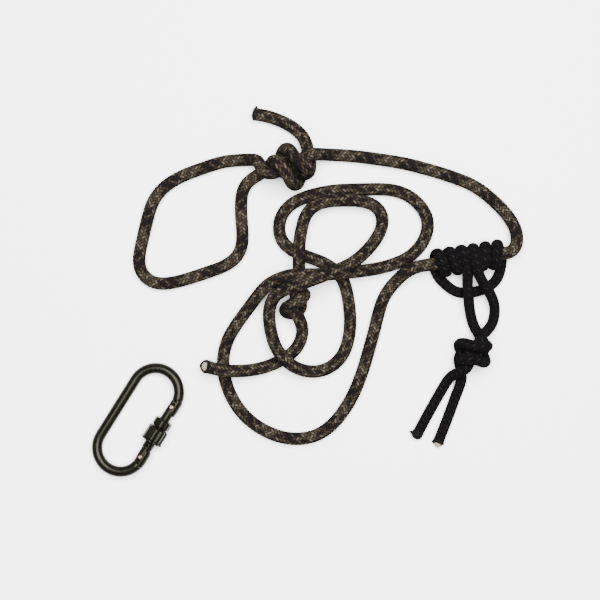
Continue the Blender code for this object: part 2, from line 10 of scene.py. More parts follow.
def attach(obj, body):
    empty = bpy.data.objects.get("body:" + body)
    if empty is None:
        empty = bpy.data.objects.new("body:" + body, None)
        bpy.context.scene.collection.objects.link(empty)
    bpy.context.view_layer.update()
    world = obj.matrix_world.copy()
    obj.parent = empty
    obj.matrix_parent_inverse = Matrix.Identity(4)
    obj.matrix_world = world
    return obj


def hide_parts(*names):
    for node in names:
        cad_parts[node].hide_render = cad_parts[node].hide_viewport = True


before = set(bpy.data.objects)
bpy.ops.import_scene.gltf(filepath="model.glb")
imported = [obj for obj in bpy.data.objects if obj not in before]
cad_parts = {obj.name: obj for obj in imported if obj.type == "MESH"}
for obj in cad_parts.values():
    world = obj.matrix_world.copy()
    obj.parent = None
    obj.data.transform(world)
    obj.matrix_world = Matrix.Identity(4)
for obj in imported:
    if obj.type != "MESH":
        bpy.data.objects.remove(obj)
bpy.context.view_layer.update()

# ---------------------------------------------------------------- sizes, in metres
ROPE_RADIUS = 0.0056
CORD_RADIUS = 0.0047
FLOOR_CLEARANCE = 0.0001
NODE_SPACING = 0.0034  # between the points that a rope is settled with

# A rope flattens against itself inside a tight knot.
KNOT_SQUEEZE = 0.94
STOPPER_SQUEEZE = 0.74
KNOT_HEIGHT = 0.80  # a knot lying on the floor is lower than it is wide
KNOT_CORE = 2.0  # in rope diameters from a knot's middle
KNOT_END = 10.8
KNOT_REACH = 2.1
STOPPER_REACH = 1.5
# Each knot's centre, its turn about Z, its roll, its handedness, and how far it is drawn together.
LOOP_KNOT = ((-0.0145, 0.1090, 0.0180), math.radians(40), 0.0, -1, 0.84)
STOPPER_KNOT = ((-0.0105, -0.0095, 0.0125), math.radians(-82), math.radians(30), -1, 0.9)
JOINING_KNOT = ((0.1450, -0.0530, 0.0145), math.radians(-100), 0.0, -1, 0.72)
FIRM = 0.5  # how firmly a stretch keeps to its route while the ropes settle
SOFT = 0.02
ROPE_SLANT = 0.8  # how far a slanted cut runs along the rope for its height
CORD_SLANT = 0.35
SLANT_RUN = 0.012
SLANT_OPENING = 0.10
FADE = 0.012  # over which a rope near a knot comes loose of its route
SETTLING_ROUNDS = 160

# The hitch turns lie round a straight part of the rope.
HITCH_CENTRE = Vector((0.1413, 0.0289, 0.0134))
HITCH_ANGLE = math.radians(8.5)
HITCH_REACH = 0.0345
TURN_PITCH = 0.0107
TURN_RADIUS = 0.0098
TURN_FLATTENING = 0.84
TURN_WIDENING = 0.08
PRESS_ROOM = 0.004  # the cord is pressed this far out from the turns' own radius
PRESS_FADE = 0.003
PRESS_PAST_END = 0.006
PRESS_END_FADE = 0.004
TURNS = 3
TURN_START = 0.0015
TURNS_FROM = math.radians(55)
TURNS_TO = math.radians(-80)

# The carabiner is modelled upright in its own frame: X across, Y along, Z through.
ROD_RADIUS = 0.0047
ROD_STEP = 0.0009
ROD_SIDES = 48
ROD_ROUNDING = 0.0022  # over which the rod closes in at its ends
FORGED_SWELL = 0.00018  # the rod is a little thicker where its ends were forged
FORGED_PLACE = 0.0045
FORGED_WIDTH = 0.0014
ARC_RADIUS = 0.0211
ARC_CENTRE_Y = 0.0287
ROD_END_ANGLE = 6.0
GATE_X = 0.0201
PIN_Y = 0.0257
GATE_RADIUS = 0.0043
NOSE_RADIUS = 0.0044
BARREL_RADIUS = 0.0050
TANG_THICKNESS = 0.0030
SLOT_THICKNESS = 0.0036
HINGE_SLOT_Y = 0.0202
NOSE_SLOT_Y = -0.0201
THREAD_PITCH = 0.0010
THREAD_TOP = 0.0038
THREAD_BOTTOM = -0.0160
THREAD_DEPTH = 0.00034
THREAD_RADIUS = 0.0046  # nothing nearer the gate's middle is threaded
RELIEF_FADE = 0.0006
NUT_LOBES = 8
NUT_CORE = 0.0079  # the grips are cut from here outwards
NUT_GRIP = 0.0009
COLLAR_LOBES = 7
COLLAR_CORE = 0.0067
COLLAR_GRIP = 0.0007
COLLAR_TURN = 0.3
CARABINER_PLACE = Vector((-0.1485, -0.1125, 0.00752))
CARABINER_TURN = math.radians(-32.1)
CARABINER_TILT = math.radians(-7.4)
HINGE_TANG = [
    (0.0164, 0.0335), (0.0164, 0.024), (0.0171, 0.0216),
    (0.0231, 0.0216), (0.0242, 0.024), (0.0242, 0.0335),
]
NOSE_TANG = [
    (0.0164, -0.0335), (0.0242, -0.0335), (0.0242, -0.0209), (0.0175, -0.0209), (0.0162, -0.0222),
    (0.0162, -0.0238), (0.0214, -0.0238), (0.0220, -0.0246), (0.0220, -0.0268), (0.0214, -0.0276),
    (0.0162, -0.0276),
]
LUG_INNER = 0.0047
LUG_OUTER = 0.0061
LUG_SPREAD = 72.0
LUG_PROFILE = [
    (0.0047, 0.0190), (0.0051, 0.0184), (0.0058, 0.0194),
    (0.0061, 0.0225), (0.0061, 0.0300), (0.0058, 0.0335),
    (0.0047, 0.0345), (0.0047, 0.0190),
]

# ---------------------------------------------------------------- braids
# A braid has as many strands one way round as the other. Each passes over two of the others and under two.
ROPE_BRAID = {"strands": 12, "stitch": 0.0032, "relief": 0.00042, "sides": 40, "ring": 0.00104}
CORD_BRAID = {"strands": 12, "stitch": 0.0026, "relief": 0.00028, "sides": 48, "ring": 0.00087}

# Colours of the strands, in their order round the rope.
BLACK = (0.0082, 0.0062, 0.0066)
EARTH = (0.0215, 0.0150, 0.0110)
OLIVE = (0.0280, 0.0236, 0.0150)
TAN = (0.0530, 0.0430, 0.0315)
ROPE_RIGHT_STRANDS = (TAN, OLIVE, EARTH, OLIVE, TAN, EARTH, BLACK, BLACK, EARTH, BLACK, BLACK, OLIVE)
ROPE_LEFT_STRANDS = (OLIVE, EARTH, BLACK, BLACK, OLIVE, BLACK, BLACK, TAN, OLIVE, EARTH, TAN, OLIVE)
ASH = (0.0088, 0.0078, 0.0082)
CHARCOAL = (0.0056, 0.0046, 0.0052)
SOOT = (0.0044, 0.0036, 0.0042)
CORD_RIGHT_STRANDS = (ASH, SOOT) * 6
CORD_LEFT_STRANDS = (CHARCOAL, SOOT) * 6

# Painted shade in the gaps between the strands, and over each strand's edges and where it dips under.
ROPE_GAP_SHADE = (0.0022, 0.0018, 0.0018)
CORD_GAP_SHADE = (0.0008, 0.0007, 0.0008)
FIBRE_DEPTH = 0.35  # of a strand's own height

# ---------------------------------------------------------------- cut ends
# Each profile is turned about the rope's own line: radius, then height outwards from where the rope stops.
ROPE_CAP = [
    (0.0, 0.0026), (0.0025, 0.0025), (0.0043, 0.0019), (0.0054, 0.0009), (0.0058, -0.0003),
    (0.0055, -0.0014), (0.0050, -0.0020),
]
ROPE_RIM = [
    (0.0033, -0.0010), (0.0037, 0.0008), (0.0045, 0.0017), (0.0054, 0.0014), (0.0060, 0.0003),
    (0.0059, -0.0010), (0.0053, -0.0018),
]
ROPE_FIBRES = [(0.0, 0.0018), (0.0018, 0.0018), (0.0031, 0.0013), (0.0038, 0.0002), (0.0036, -0.0012)]
CORD_CAP = [
    (0.0, 0.0040), (0.0020, 0.0037), (0.0036, 0.0027), (0.0046, 0.0011), (0.0050, -0.0006),
    (0.0049, -0.0022), (0.0046, -0.0034),
]
CORD_RIM = [
    (0.0028, -0.0010), (0.0031, 0.0007), (0.0038, 0.0014), (0.0046, 0.0011), (0.0051, 0.0000),
    (0.0049, -0.0014),
]
CORD_FIBRES = [(0.0, 0.0036), (0.0014, 0.0035), (0.0026, 0.0026), (0.0032, 0.0006), (0.0031, -0.0012)]
DRIP_SPREAD = 0.26  # radians round the end that a drip of melted fibre takes up
DRIP_HEIGHT = 0.0011

# ---------------------------------------------------------------- routes, in the order the ropes run
TAIL_ROUTE = [
    (-0.0457, 0.1565, 0.0056), (-0.0318, 0.1537, 0.0056), (-0.0153, 0.1467, 0.0056),
    (-0.0038, 0.1372, 0.0065), (0.0007, 0.1277, 0.009),
]
LOOP_ROUTE = [
    (-0.0378, 0.1147, 0.0125), (-0.0448, 0.116, 0.0095), (-0.0562, 0.116, 0.006), (-0.0688, 0.1152, 0.0056),
    (-0.0808, 0.1125, 0.0056), (-0.0932, 0.1082, 0.0056),
    (-0.1058, 0.1037, 0.0056), (-0.1178, 0.0977, 0.0056),
    (-0.1266, 0.0912, 0.0056), (-0.1337, 0.0826, 0.0056), (-0.1381, 0.0727, 0.0056),
    (-0.1408, 0.0622, 0.0056), (-0.1434, 0.0517, 0.0056), (-0.1456, 0.0417, 0.0056),
    (-0.1478, 0.0312, 0.0056), (-0.1473, 0.0217, 0.0056), (-0.1428, 0.0132, 0.0056),
    (-0.1343, 0.0079, 0.0056), (-0.1238, 0.0072, 0.0056), (-0.1118, 0.0095, 0.0056),
    (-0.0993, 0.0132, 0.0056), (-0.0868, 0.0175, 0.0056), (-0.0748, 0.0217, 0.0056),
    (-0.0643, 0.0282, 0.0056), (-0.0583, 0.0367, 0.0056), (-0.0566, 0.0467, 0.0056),
    (-0.057, 0.0567, 0.0056), (-0.0578, 0.0667, 0.0056), (-0.058, 0.0767, 0.0056),
    (-0.0573, 0.0862, 0.0056), (-0.0538, 0.0947, 0.0056),
    (-0.0468, 0.1007, 0.0056), (-0.0413, 0.1027, 0.006),
]
UPPER_ROUTE = [
    (0.0117, 0.1204, 0.0105), (0.0232, 0.1205, 0.0068), (0.0352, 0.1199, 0.0056), (0.0476, 0.1187, 0.0056),
    (0.0678, 0.116, 0.0056), (0.0881, 0.1125, 0.0056), (0.1083, 0.1072, 0.0056), (0.1286, 0.1009, 0.0056),
    (0.1462, 0.0937, 0.0056), (0.1594, 0.0844, 0.0056), (0.1708, 0.0738, 0.0062), (0.1792, 0.0632, 0.0075),
    (0.1835, 0.0537, 0.0095), (0.1844, 0.046, 0.0112), (0.183, 0.0394, 0.0126), (0.1787, 0.0346, 0.0133),
]
SWEEP_ROUTE = [
    (0.0957, 0.0218, 0.0134), (0.0852, 0.016, 0.0114), (0.0749, 0.0057, 0.0075), (0.0675, -0.0054, 0.0056),
    (0.0629, -0.0195, 0.0056), (0.059, -0.0353, 0.0056), (0.0541, -0.0529, 0.0056),
    (0.0485, -0.0714, 0.0056), (0.0406, -0.0908, 0.0056), (0.031, -0.1066, 0.0056),
    (0.0203, -0.1188, 0.0056), (0.0071, -0.1268, 0.0056), (-0.007, -0.1295, 0.0056),
    (-0.0202, -0.1284, 0.0056), (-0.0334, -0.124, 0.0056), (-0.0466, -0.1163, 0.0056),
    (-0.0578, -0.1057, 0.0056), (-0.0659, -0.0934, 0.0056), (-0.0713, -0.08, 0.0056),
    (-0.0738, -0.0661, 0.0056), (-0.073, -0.0529, 0.0056), (-0.0686, -0.0397, 0.006),
    (-0.061, -0.0274, 0.007), (-0.0527, -0.0161, 0.0085), (-0.0439, -0.0045, 0.0115),
    (-0.0351, 0.0056, 0.0160), (-0.0237, 0.0118, 0.0205), (-0.0122, 0.0148, 0.0226),
]
RIGHT_LOOP_ROUTE = [
    (0.0027, 0.015, 0.0219), (0.0159, 0.015, 0.0192), (0.0335, 0.0166, 0.0178), (0.0497, 0.0184, 0.0140),
    (0.0643, 0.021, 0.0085), (0.0775, 0.0248, 0.0058), (0.0902, 0.0309, 0.0056), (0.1, 0.0404, 0.0056),
    (0.1054, 0.0509, 0.0056), (0.1065, 0.0615, 0.0056), (0.1032, 0.0712, 0.0056), (0.0962, 0.0794, 0.0056),
    (0.087, 0.086, 0.0056), (0.0749, 0.0896, 0.0056), (0.0617, 0.0904, 0.0056), (0.0476, 0.0901, 0.0056),
    (0.0344, 0.0898, 0.0056), (0.0212, 0.0888, 0.0056), (0.0104, 0.0868, 0.0056), (-0.0008, 0.0836, 0.0056),
    (-0.0114, 0.0788, 0.0056), (-0.0193, 0.072, 0.0056), (-0.0235, 0.0641, 0.0056),
    (-0.0248, 0.0562, 0.0056), (-0.0235, 0.0483, 0.0056), (-0.0193, 0.0412, 0.0056),
    (-0.0114, 0.0356, 0.0056), (-0.0008, 0.0314, 0.0056),
    (0.0106, 0.0274, 0.0056), (0.0212, 0.0219, 0.0056),
    (0.0291, 0.0146, 0.0056), (0.0337, 0.0057, 0.0056), (0.0363, -0.0056, 0.0056),
]
INNER_LOOP_ROUTE = [
    (0.0379, -0.0195, 0.0056), (0.0379, -0.0327, 0.0056), (0.0353, -0.0469, 0.0056),
    (0.0298, -0.0582, 0.0056), (0.0205, -0.0664, 0.0056), (0.0098, -0.0701, 0.0064),
    (-0.0008, -0.0696, 0.0102), (-0.0116, -0.0654, 0.0156),
    (-0.0202, -0.0582, 0.0178), (-0.0272, -0.0485, 0.0160),
    (-0.031, -0.0376, 0.0135), (-0.033, -0.0256, 0.0132), (-0.0328, -0.0142, 0.0165),
    (-0.0287, -0.0045, 0.0212), (-0.0202, 0.0016, 0.0262),
    (-0.0096, 0.0052, 0.0302), (0.0027, 0.0094, 0.0330),
    (0.0159, 0.0146, 0.0318), (0.0335, 0.0219, 0.0287), (0.0426, 0.0274, 0.0240),
    (0.0511, 0.0349, 0.0174), (0.059, 0.0439, 0.0115),
]
RETURN_ROUTE = [
    (0.065, 0.0544, 0.0082), (0.0668, 0.0644, 0.0072), (0.063, 0.0728, 0.0082), (0.055, 0.0778, 0.0105),
    (0.0441, 0.0798, 0.0128), (0.0335, 0.08, 0.0134), (0.0227, 0.0796, 0.0137), (0.013, 0.078, 0.0138),
    (0.0042, 0.0737, 0.0136), (-0.0018, 0.0657, 0.0128),
    (-0.0048, 0.0544, 0.0128), (-0.0066, 0.0432, 0.0170),
    (-0.007, 0.0342, 0.0190), (-0.007, 0.0267, 0.0160), (-0.007, 0.0187, 0.0106), (-0.0072, 0.0102, 0.0078),
    (-0.0076, 0.0027, 0.0074),
]
FREE_END_ROUTE = [
    (-0.005, -0.0248, 0.0072), (-0.0036, -0.0348, 0.0056), (-0.007, -0.0466, 0.0056),
    (-0.0146, -0.0552, 0.0056), (-0.0237, -0.0608, 0.0056), (-0.036, -0.066, 0.0068),
    (-0.0498, -0.0688, 0.0112), (-0.0633, -0.0693, 0.0163),
    (-0.0748, -0.0683, 0.0180), (-0.0884, -0.0652, 0.0172),
]
BRIDGE_ROUTE = [
    (0.119, 0.011, 0.0049), (0.1225, 0.0064, 0.0048), (0.1282, 0.0012, 0.0048), (0.1356, -0.0012, 0.0048),
    (0.1435, -0.001, 0.0048), (0.1514, 0.0006, 0.0048), (0.1602, 0.0045, 0.0048),
    (0.167, 0.01, 0.0048), (0.171, 0.018, 0.005),
]
LEFT_LEG_ROUTE = [
    (0.1387, 0.0132, 0.0160), (0.1402, 0.0057, 0.0158),
    (0.1408, -0.0018, 0.0156), (0.1418, -0.0098, 0.0122),
    (0.1435, -0.0183, 0.0067), (0.1454, -0.0263, 0.0052), (0.1472, -0.0343, 0.0065),
]
RIGHT_LEG_ROUTE = [
    (0.1499, 0.013, 0.0160), (0.1544, 0.0064, 0.0158), (0.1589, 0.0002, 0.0155), (0.163, -0.0068, 0.0120),
    (0.1654, -0.0163, 0.0064), (0.164, -0.0263, 0.005), (0.1598, -0.0353, 0.0065),
]
LEFT_TAIL_ROUTE = [
    (0.1282, -0.071, 0.0056), (0.1224, -0.0802, 0.0048),
    (0.1092, -0.1031, 0.0048), (0.0969, -0.126, 0.0048),
]
RIGHT_TAIL_ROUTE = [
    (0.1376, -0.072, 0.0090), (0.1354, -0.0808, 0.0058),
    (0.1314, -0.0908, 0.0048), (0.1247, -0.1093, 0.0048),
    (0.1154, -0.133, 0.0048),
]

# ---------------------------------------------------------------- curves
def smooth_curve(points, steps=24):
    """Catmull-Rom curve through the points, as closely spaced positions."""
    route = np.array([tuple(point) for point in points])
    padded = np.vstack([2 * route[0] - route[1], route, 2 * route[-1] - route[-2]])
    share = (np.arange(steps) / steps)[:, None]
    curve = []
    for index in range(len(route) - 1):
        a, b, c, d = padded[index : index + 4]
        square = (2 * a - 5 * b + 4 * c - d) * share**2
        curve.append(0.5 * (2 * b + (c - a) * share + square + (3 * b - a - 3 * c + d) * share**3))
    return np.vstack([*curve, route[-1:]])


def length_of(curve):
    return float(np.linalg.norm(np.diff(curve, axis=0), axis=1).sum())


def lengths_along(curve):
    """How far along the curve each of its positions is."""
    return np.concatenate([[0.0], np.cumsum(np.linalg.norm(np.diff(curve, axis=0), axis=1))])


def resampled(curve, count):
    """The same curve as evenly spaced positions."""
    lengths = lengths_along(curve)
    wanted = np.linspace(0.0, lengths[-1], count)
    return np.stack([np.interp(wanted, lengths, curve[:, axis]) for axis in range(3)], 1)


def spaced(curve, spacing):
    return resampled(curve, max(2, round(length_of(curve) / spacing) + 1))


def directions_of(curve):
    tangents = np.gradient(curve, axis=0)
    return tangents / np.linalg.norm(tangents, axis=1)[:, None]


# ---------------------------------------------------------------- ropes that settle against each other
def touching_pairs(points, strands, reach, skip):
    """Pairs of points closer than reach, apart from near neighbours along the same strand."""
    gaps = points[:, None, :] - points[None, :, :]
    first, second = np.nonzero(np.triu((gaps**2).sum(2) < reach**2, 1))
    kept = (strands[first] != strands[second]) | (second - first > skip)
    return first[kept], second[kept]


def push_apart(points, first, second, clearance, free):
    """Moves each pair apart until it has its clearance. Several pushes on one point are averaged."""
    gaps = points[second] - points[first]
    distance = np.maximum(np.linalg.norm(gaps, axis=1), 1e-9)
    overlap = np.maximum(clearance - distance, 0.0)
    share = free[first] + free[second]
    push = gaps * (overlap / distance / np.maximum(share, 1e-9))[:, None]
    count = len(points)
    pressed = (overlap > 0).astype(float)
    touched = np.bincount(first, pressed, count) + np.bincount(second, pressed, count)
    for axis in range(3):
        forward = np.bincount(second, push[:, axis], count)
        backward = np.bincount(first, push[:, axis], count)
        points[:, axis] += free * (forward - backward) * 1.6 / np.maximum(touched, 1.0)


def hold_length(points, rest, starts, free):
    """Brings next-door points back to their rest distance, every other pair at a time."""
    for parity in (0, 1):
        a = starts[starts % 2 == parity]
        b = a + 1
        gaps = points[b] - points[a]
        distance = np.maximum(np.linalg.norm(gaps, axis=1), 1e-9)
        share = np.maximum(free[a] + free[b], 1e-9)
        move = gaps * ((distance - rest[a]) / distance / share)[:, None]
        points[a] += free[a][:, None] * move
        points[b] -= free[b][:, None] * move


def straighten(points, middle, free, amount):
    """A rope's own stiffness: each point moves a little towards the middle of its neighbours."""
    bend = (points[middle - 1] + points[middle + 1]) / 2 - points[middle]
    points[middle] += amount * bend * free[middle][:, None]


# ---------------------------------------------------------------- knots, tied in rope diameters
def loose_overhand(scale):
    """Wide open overhand knot, whose ends leave along Y."""
    t = np.linspace(-2.15, 2.15, 400)
    across = 1.2 * (t**3 - 3 * t)
    along = 0.4 * (t**5 - 10 * t)
    up = 0.6 * (t**4 - 4 * t**2)
    end = np.array([[0.0, KNOT_END, 0.0]])
    return np.vstack([-end, np.stack([across, along, up], 1), end]) * scale


def tighten(strands, slack, rounds):
    """Draws the strands in, with their ends held, until they are as short as the knot lets them be."""
    counts = [int(length_of(strand) / 0.5) for strand in strands]
    points = np.vstack([resampled(strand, count) for strand, count in zip(strands, counts)])
    owner = np.repeat(np.arange(len(strands)), counts)
    last = np.cumsum(counts) - 1
    first = last - np.array(counts) + 1
    free = np.ones(len(points))
    free[np.concatenate([first, first + 1, last - 1, last])] = 0.0
    starts = np.setdiff1d(np.arange(len(points)), last)
    middle = np.nonzero(free)[0]
    loose = np.array([length_of(strand) for strand in strands])
    tight = np.array([np.linalg.norm(strand[-1] - strand[0]) for strand in strands]) + slack
    for step in range(rounds):
        drawn = min(1.0, step / (0.75 * rounds))
        rest = ((loose + (tight - loose) * drawn) / (np.array(counts) - 1))[owner]
        straighten(points, middle, free, 0.25)
        for _ in range(3):
            hold_length(points, rest, starts, free)
        if step % 4 == 0:
            pairs = touching_pairs(points, owner, 1.5, math.ceil(1.5 / rest.min()))
        for _ in range(2):
            push_apart(points, *pairs, 1.0, free)
    return [points[a : b + 1] for a, b in zip(first, last)]


def single_overhand():
    return tighten([loose_overhand(1.0)], 4.0, 1200)


def double_overhand():
    """The same knot tied with two strands side by side."""
    middle = loose_overhand(1.7)
    side = np.cross(directions_of(middle), (0.0, 0.0, 1.0))
    side /= np.linalg.norm(side, axis=1)[:, None]
    return tighten([middle + side / 2, middle - side / 2], 2.0, 1400)


def placed_knot(strands, reach, diameter, centre, turn, roll, mirror, drawn):
    """Knot strands at real size, each cut off at its own reach, with Y turned to the knot's direction."""
    along = drawn * np.array((math.cos(turn), math.sin(turn), 0.0))
    side = np.array((-math.sin(turn), math.cos(turn), 0.0))
    up = np.array((0.0, 0.0, KNOT_HEIGHT))
    across = mirror * (math.cos(roll) * side + math.sin(roll) * up)
    through = math.cos(roll) * up - math.sin(roll) * side
    core = np.vstack([strand[np.abs(strand[:, 1]) < KNOT_CORE] for strand in strands])
    middle = (core.min(0) + core.max(0)) / 2
    placed = []
    for strand in strands:
        local = (strand[np.abs(strand[:, 1] - middle[1]) < reach] - middle) * diameter
        placed.append(np.array(centre) + local @ np.array((across, along, through)))
    return placed


# ---------------------------------------------------------------- the two ropes' centrelines
def hitch_axis():
    return np.array((math.cos(HITCH_ANGLE), math.sin(HITCH_ANGLE), 0.0))


def hitch_turns(side):
    """Turns of cord round the rope, from the middle of the hitch out to one side."""
    out = np.array((math.sin(HITCH_ANGLE), -math.cos(HITCH_ANGLE), 0.0))
    up = np.array((0.0, 0.0, 1.0))
    angle = np.linspace(TURNS_FROM, TURNS_TO + 2 * math.pi * TURNS, TURNS * 28 + 1)
    turns = (angle - TURNS_FROM) / (2 * math.pi)
    offset = side * (TURN_START + TURN_PITCH * turns)
    ring = np.cos(angle)[:, None] * out + np.sin(angle)[:, None] * up
    return np.array(HITCH_CENTRE) + offset[:, None] * hitch_axis() + TURN_RADIUS * ring


def bridged(before, after):
    """Curve that leaves one stretch and meets the next, in line with both."""
    reach = np.linalg.norm(after[0] - before[-1])
    leave = directions_of(before[-3:])[-1] * reach
    meet = directions_of(after[:3])[0] * reach
    share = np.linspace(0.0, 1.0, 12)[1:-1, None]
    square, cube = share**2, share**3
    ends = (2 * cube - 3 * square + 1) * before[-1] + (3 * square - 2 * cube) * after[0]
    return ends + (cube - 2 * square + share) * leave + (cube - square) * meet


def faded(positions, firm, at_start, at_end):
    """Firmness along a stretch, which falls to nothing where it meets the next one."""
    lengths = lengths_along(positions)
    room = np.full(len(positions), FADE)
    if at_start:
        room = np.minimum(room, lengths)
    if at_end:
        room = np.minimum(room, lengths[-1] - lengths)
    return firm * (room / FADE) ** 2


def joined(stretches):
    """One line through all the stretches, with how firmly and how thick it is at each position."""
    line, firmness, radius = [], [], []
    for index, (positions, firm, thick) in enumerate(stretches):
        if index:
            link = bridged(line[-1], positions)
            line.append(link)
            firmness.append(np.zeros(len(link)))
            radius.append(np.linspace(radius[-1][-1], thick, len(link)))
        line.append(positions)
        firmness.append(faded(positions, firm, index > 0, index < len(stretches) - 1))
        radius.append(np.full(len(positions), thick))
    line = np.vstack(line)
    lengths = lengths_along(line)
    even = np.linspace(0.0, lengths[-1], round(lengths[-1] / NODE_SPACING) + 1)
    columns = [*line.T, np.concatenate(firmness), np.concatenate(radius)]
    return np.stack([np.interp(even, lengths, column) for column in columns], 1)


def settled(ropes, rounds):
    """Lets the ropes settle: they keep their length and stiffness, rest on each other and on the floor."""
    counts = [len(rope) for rope in ropes]
    last = np.cumsum(counts) - 1
    first = last - np.array(counts) + 1
    owner = np.repeat(np.arange(len(ropes)), counts)
    targets = np.vstack(ropes)[:, :3]
    firmness = np.vstack(ropes)[:, 3]
    radius = np.vstack(ropes)[:, 4]
    whole = np.repeat([rope[:, 4].max() for rope in ropes], counts)
    points = targets.copy()
    free = np.ones(len(points))
    starts = np.setdiff1d(np.arange(len(points)), last)
    middle = np.setdiff1d(starts, first)
    rest = np.full(len(points), NODE_SPACING)
    for step in range(rounds):
        if step % 10 == 0:
            pairs = touching_pairs(points, owner, 0.015, 5)
            clearance = radius[pairs[0]] + radius[pairs[1]]
        points += (targets - points) * firmness[:, None]
        straighten(points, middle, free, 0.15)
        for _ in range(2):
            hold_length(points, rest, starts, free)
            push_apart(points, *pairs, clearance, free)
        points[:, 2] = np.maximum(points[:, 2], whole)
    for _ in range(3):
        straighten(points, middle, free, 0.4)
    return [points[a : b + 1] for a, b in zip(first, last)]


def nearest_last(strands, end, place):
    """A knot's two strands, the one whose given end is nearer the place put last."""
    return sorted(strands, key=lambda strand: -np.linalg.norm(strand[end] - place))


def lay_out_ropes():
    one_strand = single_overhand()
    two_strands = double_overhand()
    axis = hitch_axis()
    entry = np.array(HITCH_CENTRE) + axis * HITCH_REACH
    leaving = np.array(HITCH_CENTRE) - axis * HITCH_REACH
    grip = np.array([entry, (entry + leaving) / 2, leaving])
    knot_rope = ROPE_RADIUS * KNOT_SQUEEZE
    stopper_rope = ROPE_RADIUS * STOPPER_SQUEEZE
    knot_cord = CORD_RADIUS * KNOT_SQUEEZE
    loop_knot = placed_knot(two_strands, KNOT_REACH, 2 * knot_rope, *LOOP_KNOT)
    standing, tail = nearest_last(loop_knot, -1, TAIL_ROUTE[-1])
    (stopper,) = placed_knot(one_strand, STOPPER_REACH, 2 * stopper_rope, *STOPPER_KNOT)
    joining_knot = placed_knot(two_strands, KNOT_REACH, 2 * knot_cord, *JOINING_KNOT)
    right_strand, left_strand = nearest_last(joining_knot, 0, LEFT_LEG_ROUTE[-1])
    long_run = [*SWEEP_ROUTE, *RIGHT_LOOP_ROUTE, *INNER_LOOP_ROUTE, *RETURN_ROUTE]
    rope = joined(
        [
            (smooth_curve(TAIL_ROUTE), FIRM, ROPE_RADIUS),
            (tail[::-1], SOFT, knot_rope),
            (smooth_curve(LOOP_ROUTE), FIRM, ROPE_RADIUS),
            (standing, SOFT, knot_rope),
            (smooth_curve([*UPPER_ROUTE, *grip, *long_run]), FIRM, ROPE_RADIUS),
            (stopper, SOFT, stopper_rope),
            (smooth_curve(FREE_END_ROUTE), FIRM, ROPE_RADIUS),
        ]
    )
    cord = joined(
        [
            (smooth_curve(LEFT_TAIL_ROUTE)[::-1], FIRM, CORD_RADIUS),
            (left_strand[::-1], SOFT, knot_cord),
            (smooth_curve(LEFT_LEG_ROUTE)[::-1], FIRM, CORD_RADIUS),
            (hitch_turns(-1), FIRM, CORD_RADIUS),
            (smooth_curve(BRIDGE_ROUTE), FIRM, CORD_RADIUS),
            (hitch_turns(1)[::-1], FIRM, CORD_RADIUS),
            (smooth_curve(RIGHT_LEG_ROUTE), FIRM, CORD_RADIUS),
            (right_strand, SOFT, knot_cord),
            (smooth_curve(RIGHT_TAIL_ROUTE), FIRM, CORD_RADIUS),
        ]
    )
    return settled([rope, cord], SETTLING_ROUNDS)


# ---------------------------------------------------------------- braided tubes
def carried_frames(line):
    """Directions across the line that follow it round without twisting."""
    tangents = directions_of(line)
    across = np.empty_like(line)
    across[0] = np.cross(tangents[0], (0.0, 0.0, 1.0))
    across[0] /= np.linalg.norm(across[0])
    for index in range(1, len(line)):
        moved = across[index - 1] - tangents[index] * np.dot(across[index - 1], tangents[index])
        across[index] = moved / np.linalg.norm(moved)
    return across, np.cross(tangents, across)


def braid_height(around, along):
    """Height of the braid's surface, from 0 in its gaps to 1, at a place counted in strands."""
    right, left = around + along, around - along
    right_strand, left_strand = np.round(right), np.round(left)
    right_side, left_side = right - right_strand, left - left_strand
    order = np.mod(right_strand + left_strand, 4)
    right_on_top = order < 2
    across = np.where(right_on_top, right_side, left_side)
    travel = np.where(right_on_top, left_side, right_side) + np.mod(order, 2) + 0.5
    crown = np.sqrt(np.maximum(1.0 - (2.1 * across) ** 2, 0.0))
    arch = np.sqrt(np.maximum(np.sin(np.pi * travel / 2), 0.0))
    return crown * (0.25 + 0.75 * arch)


def braided_tube(name, line, radius, braid, body, shaping):
    """Tube with a braid raised on its surface. Its texture map counts strands round and along it."""
    rings = len(line)
    sides = braid["sides"]
    across, over = carried_frames(line)
    lengths = lengths_along(line)
    turn = np.arange(sides) / sides
    around = np.broadcast_to(turn * braid["strands"], (rings, sides))
    along = np.broadcast_to((lengths / braid["stitch"])[:, None], (rings, sides))
    height = braid_height(around, along)
    reach = radius + braid["relief"] * (height - 0.75)
    angle = 2 * math.pi * turn
    out = np.cos(angle)[None, :, None] * across[:, None] + np.sin(angle)[None, :, None] * over[:, None]
    points = line[:, None] + shaping(line, out * reach[:, :, None])
    points[:, :, 2] = np.maximum(points[:, :, 2], FLOOR_CLEARANCE)
    ring = np.arange(rings - 1)[:, None] * sides
    here = np.arange(sides)[None, :]
    after = (here + 1) % sides
    quads = np.stack([ring + sides + here, ring + sides + after, ring + after, ring + here], 2)
    mesh = bpy.data.meshes.new(name)
    mesh.from_pydata(points.reshape(-1, 3).tolist(), [], quads.reshape(-1, 4).tolist())
    corner_round = np.stack([here, here + 1, here + 1, here], 2) / sides * braid["strands"]
    corner_round = np.broadcast_to(corner_round, (rings - 1, sides, 4))
    row = along[:, 0]
    corner_along = np.stack([row[1:], row[1:], row[:-1], row[:-1]], 1)[:, None, :]
    corner_along = np.broadcast_to(corner_along, (rings - 1, sides, 4))
    places = np.stack([corner_round, corner_along], 3)
    layer = mesh.uv_layers.new(name="braid")
    layer.data.foreach_set("uv", places.astype(np.float32).ravel())
    mesh.shade_smooth()
    obj = bpy.data.objects.new(name, mesh)
    bpy.context.scene.collection.objects.link(obj)
    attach(obj, body)
    return obj


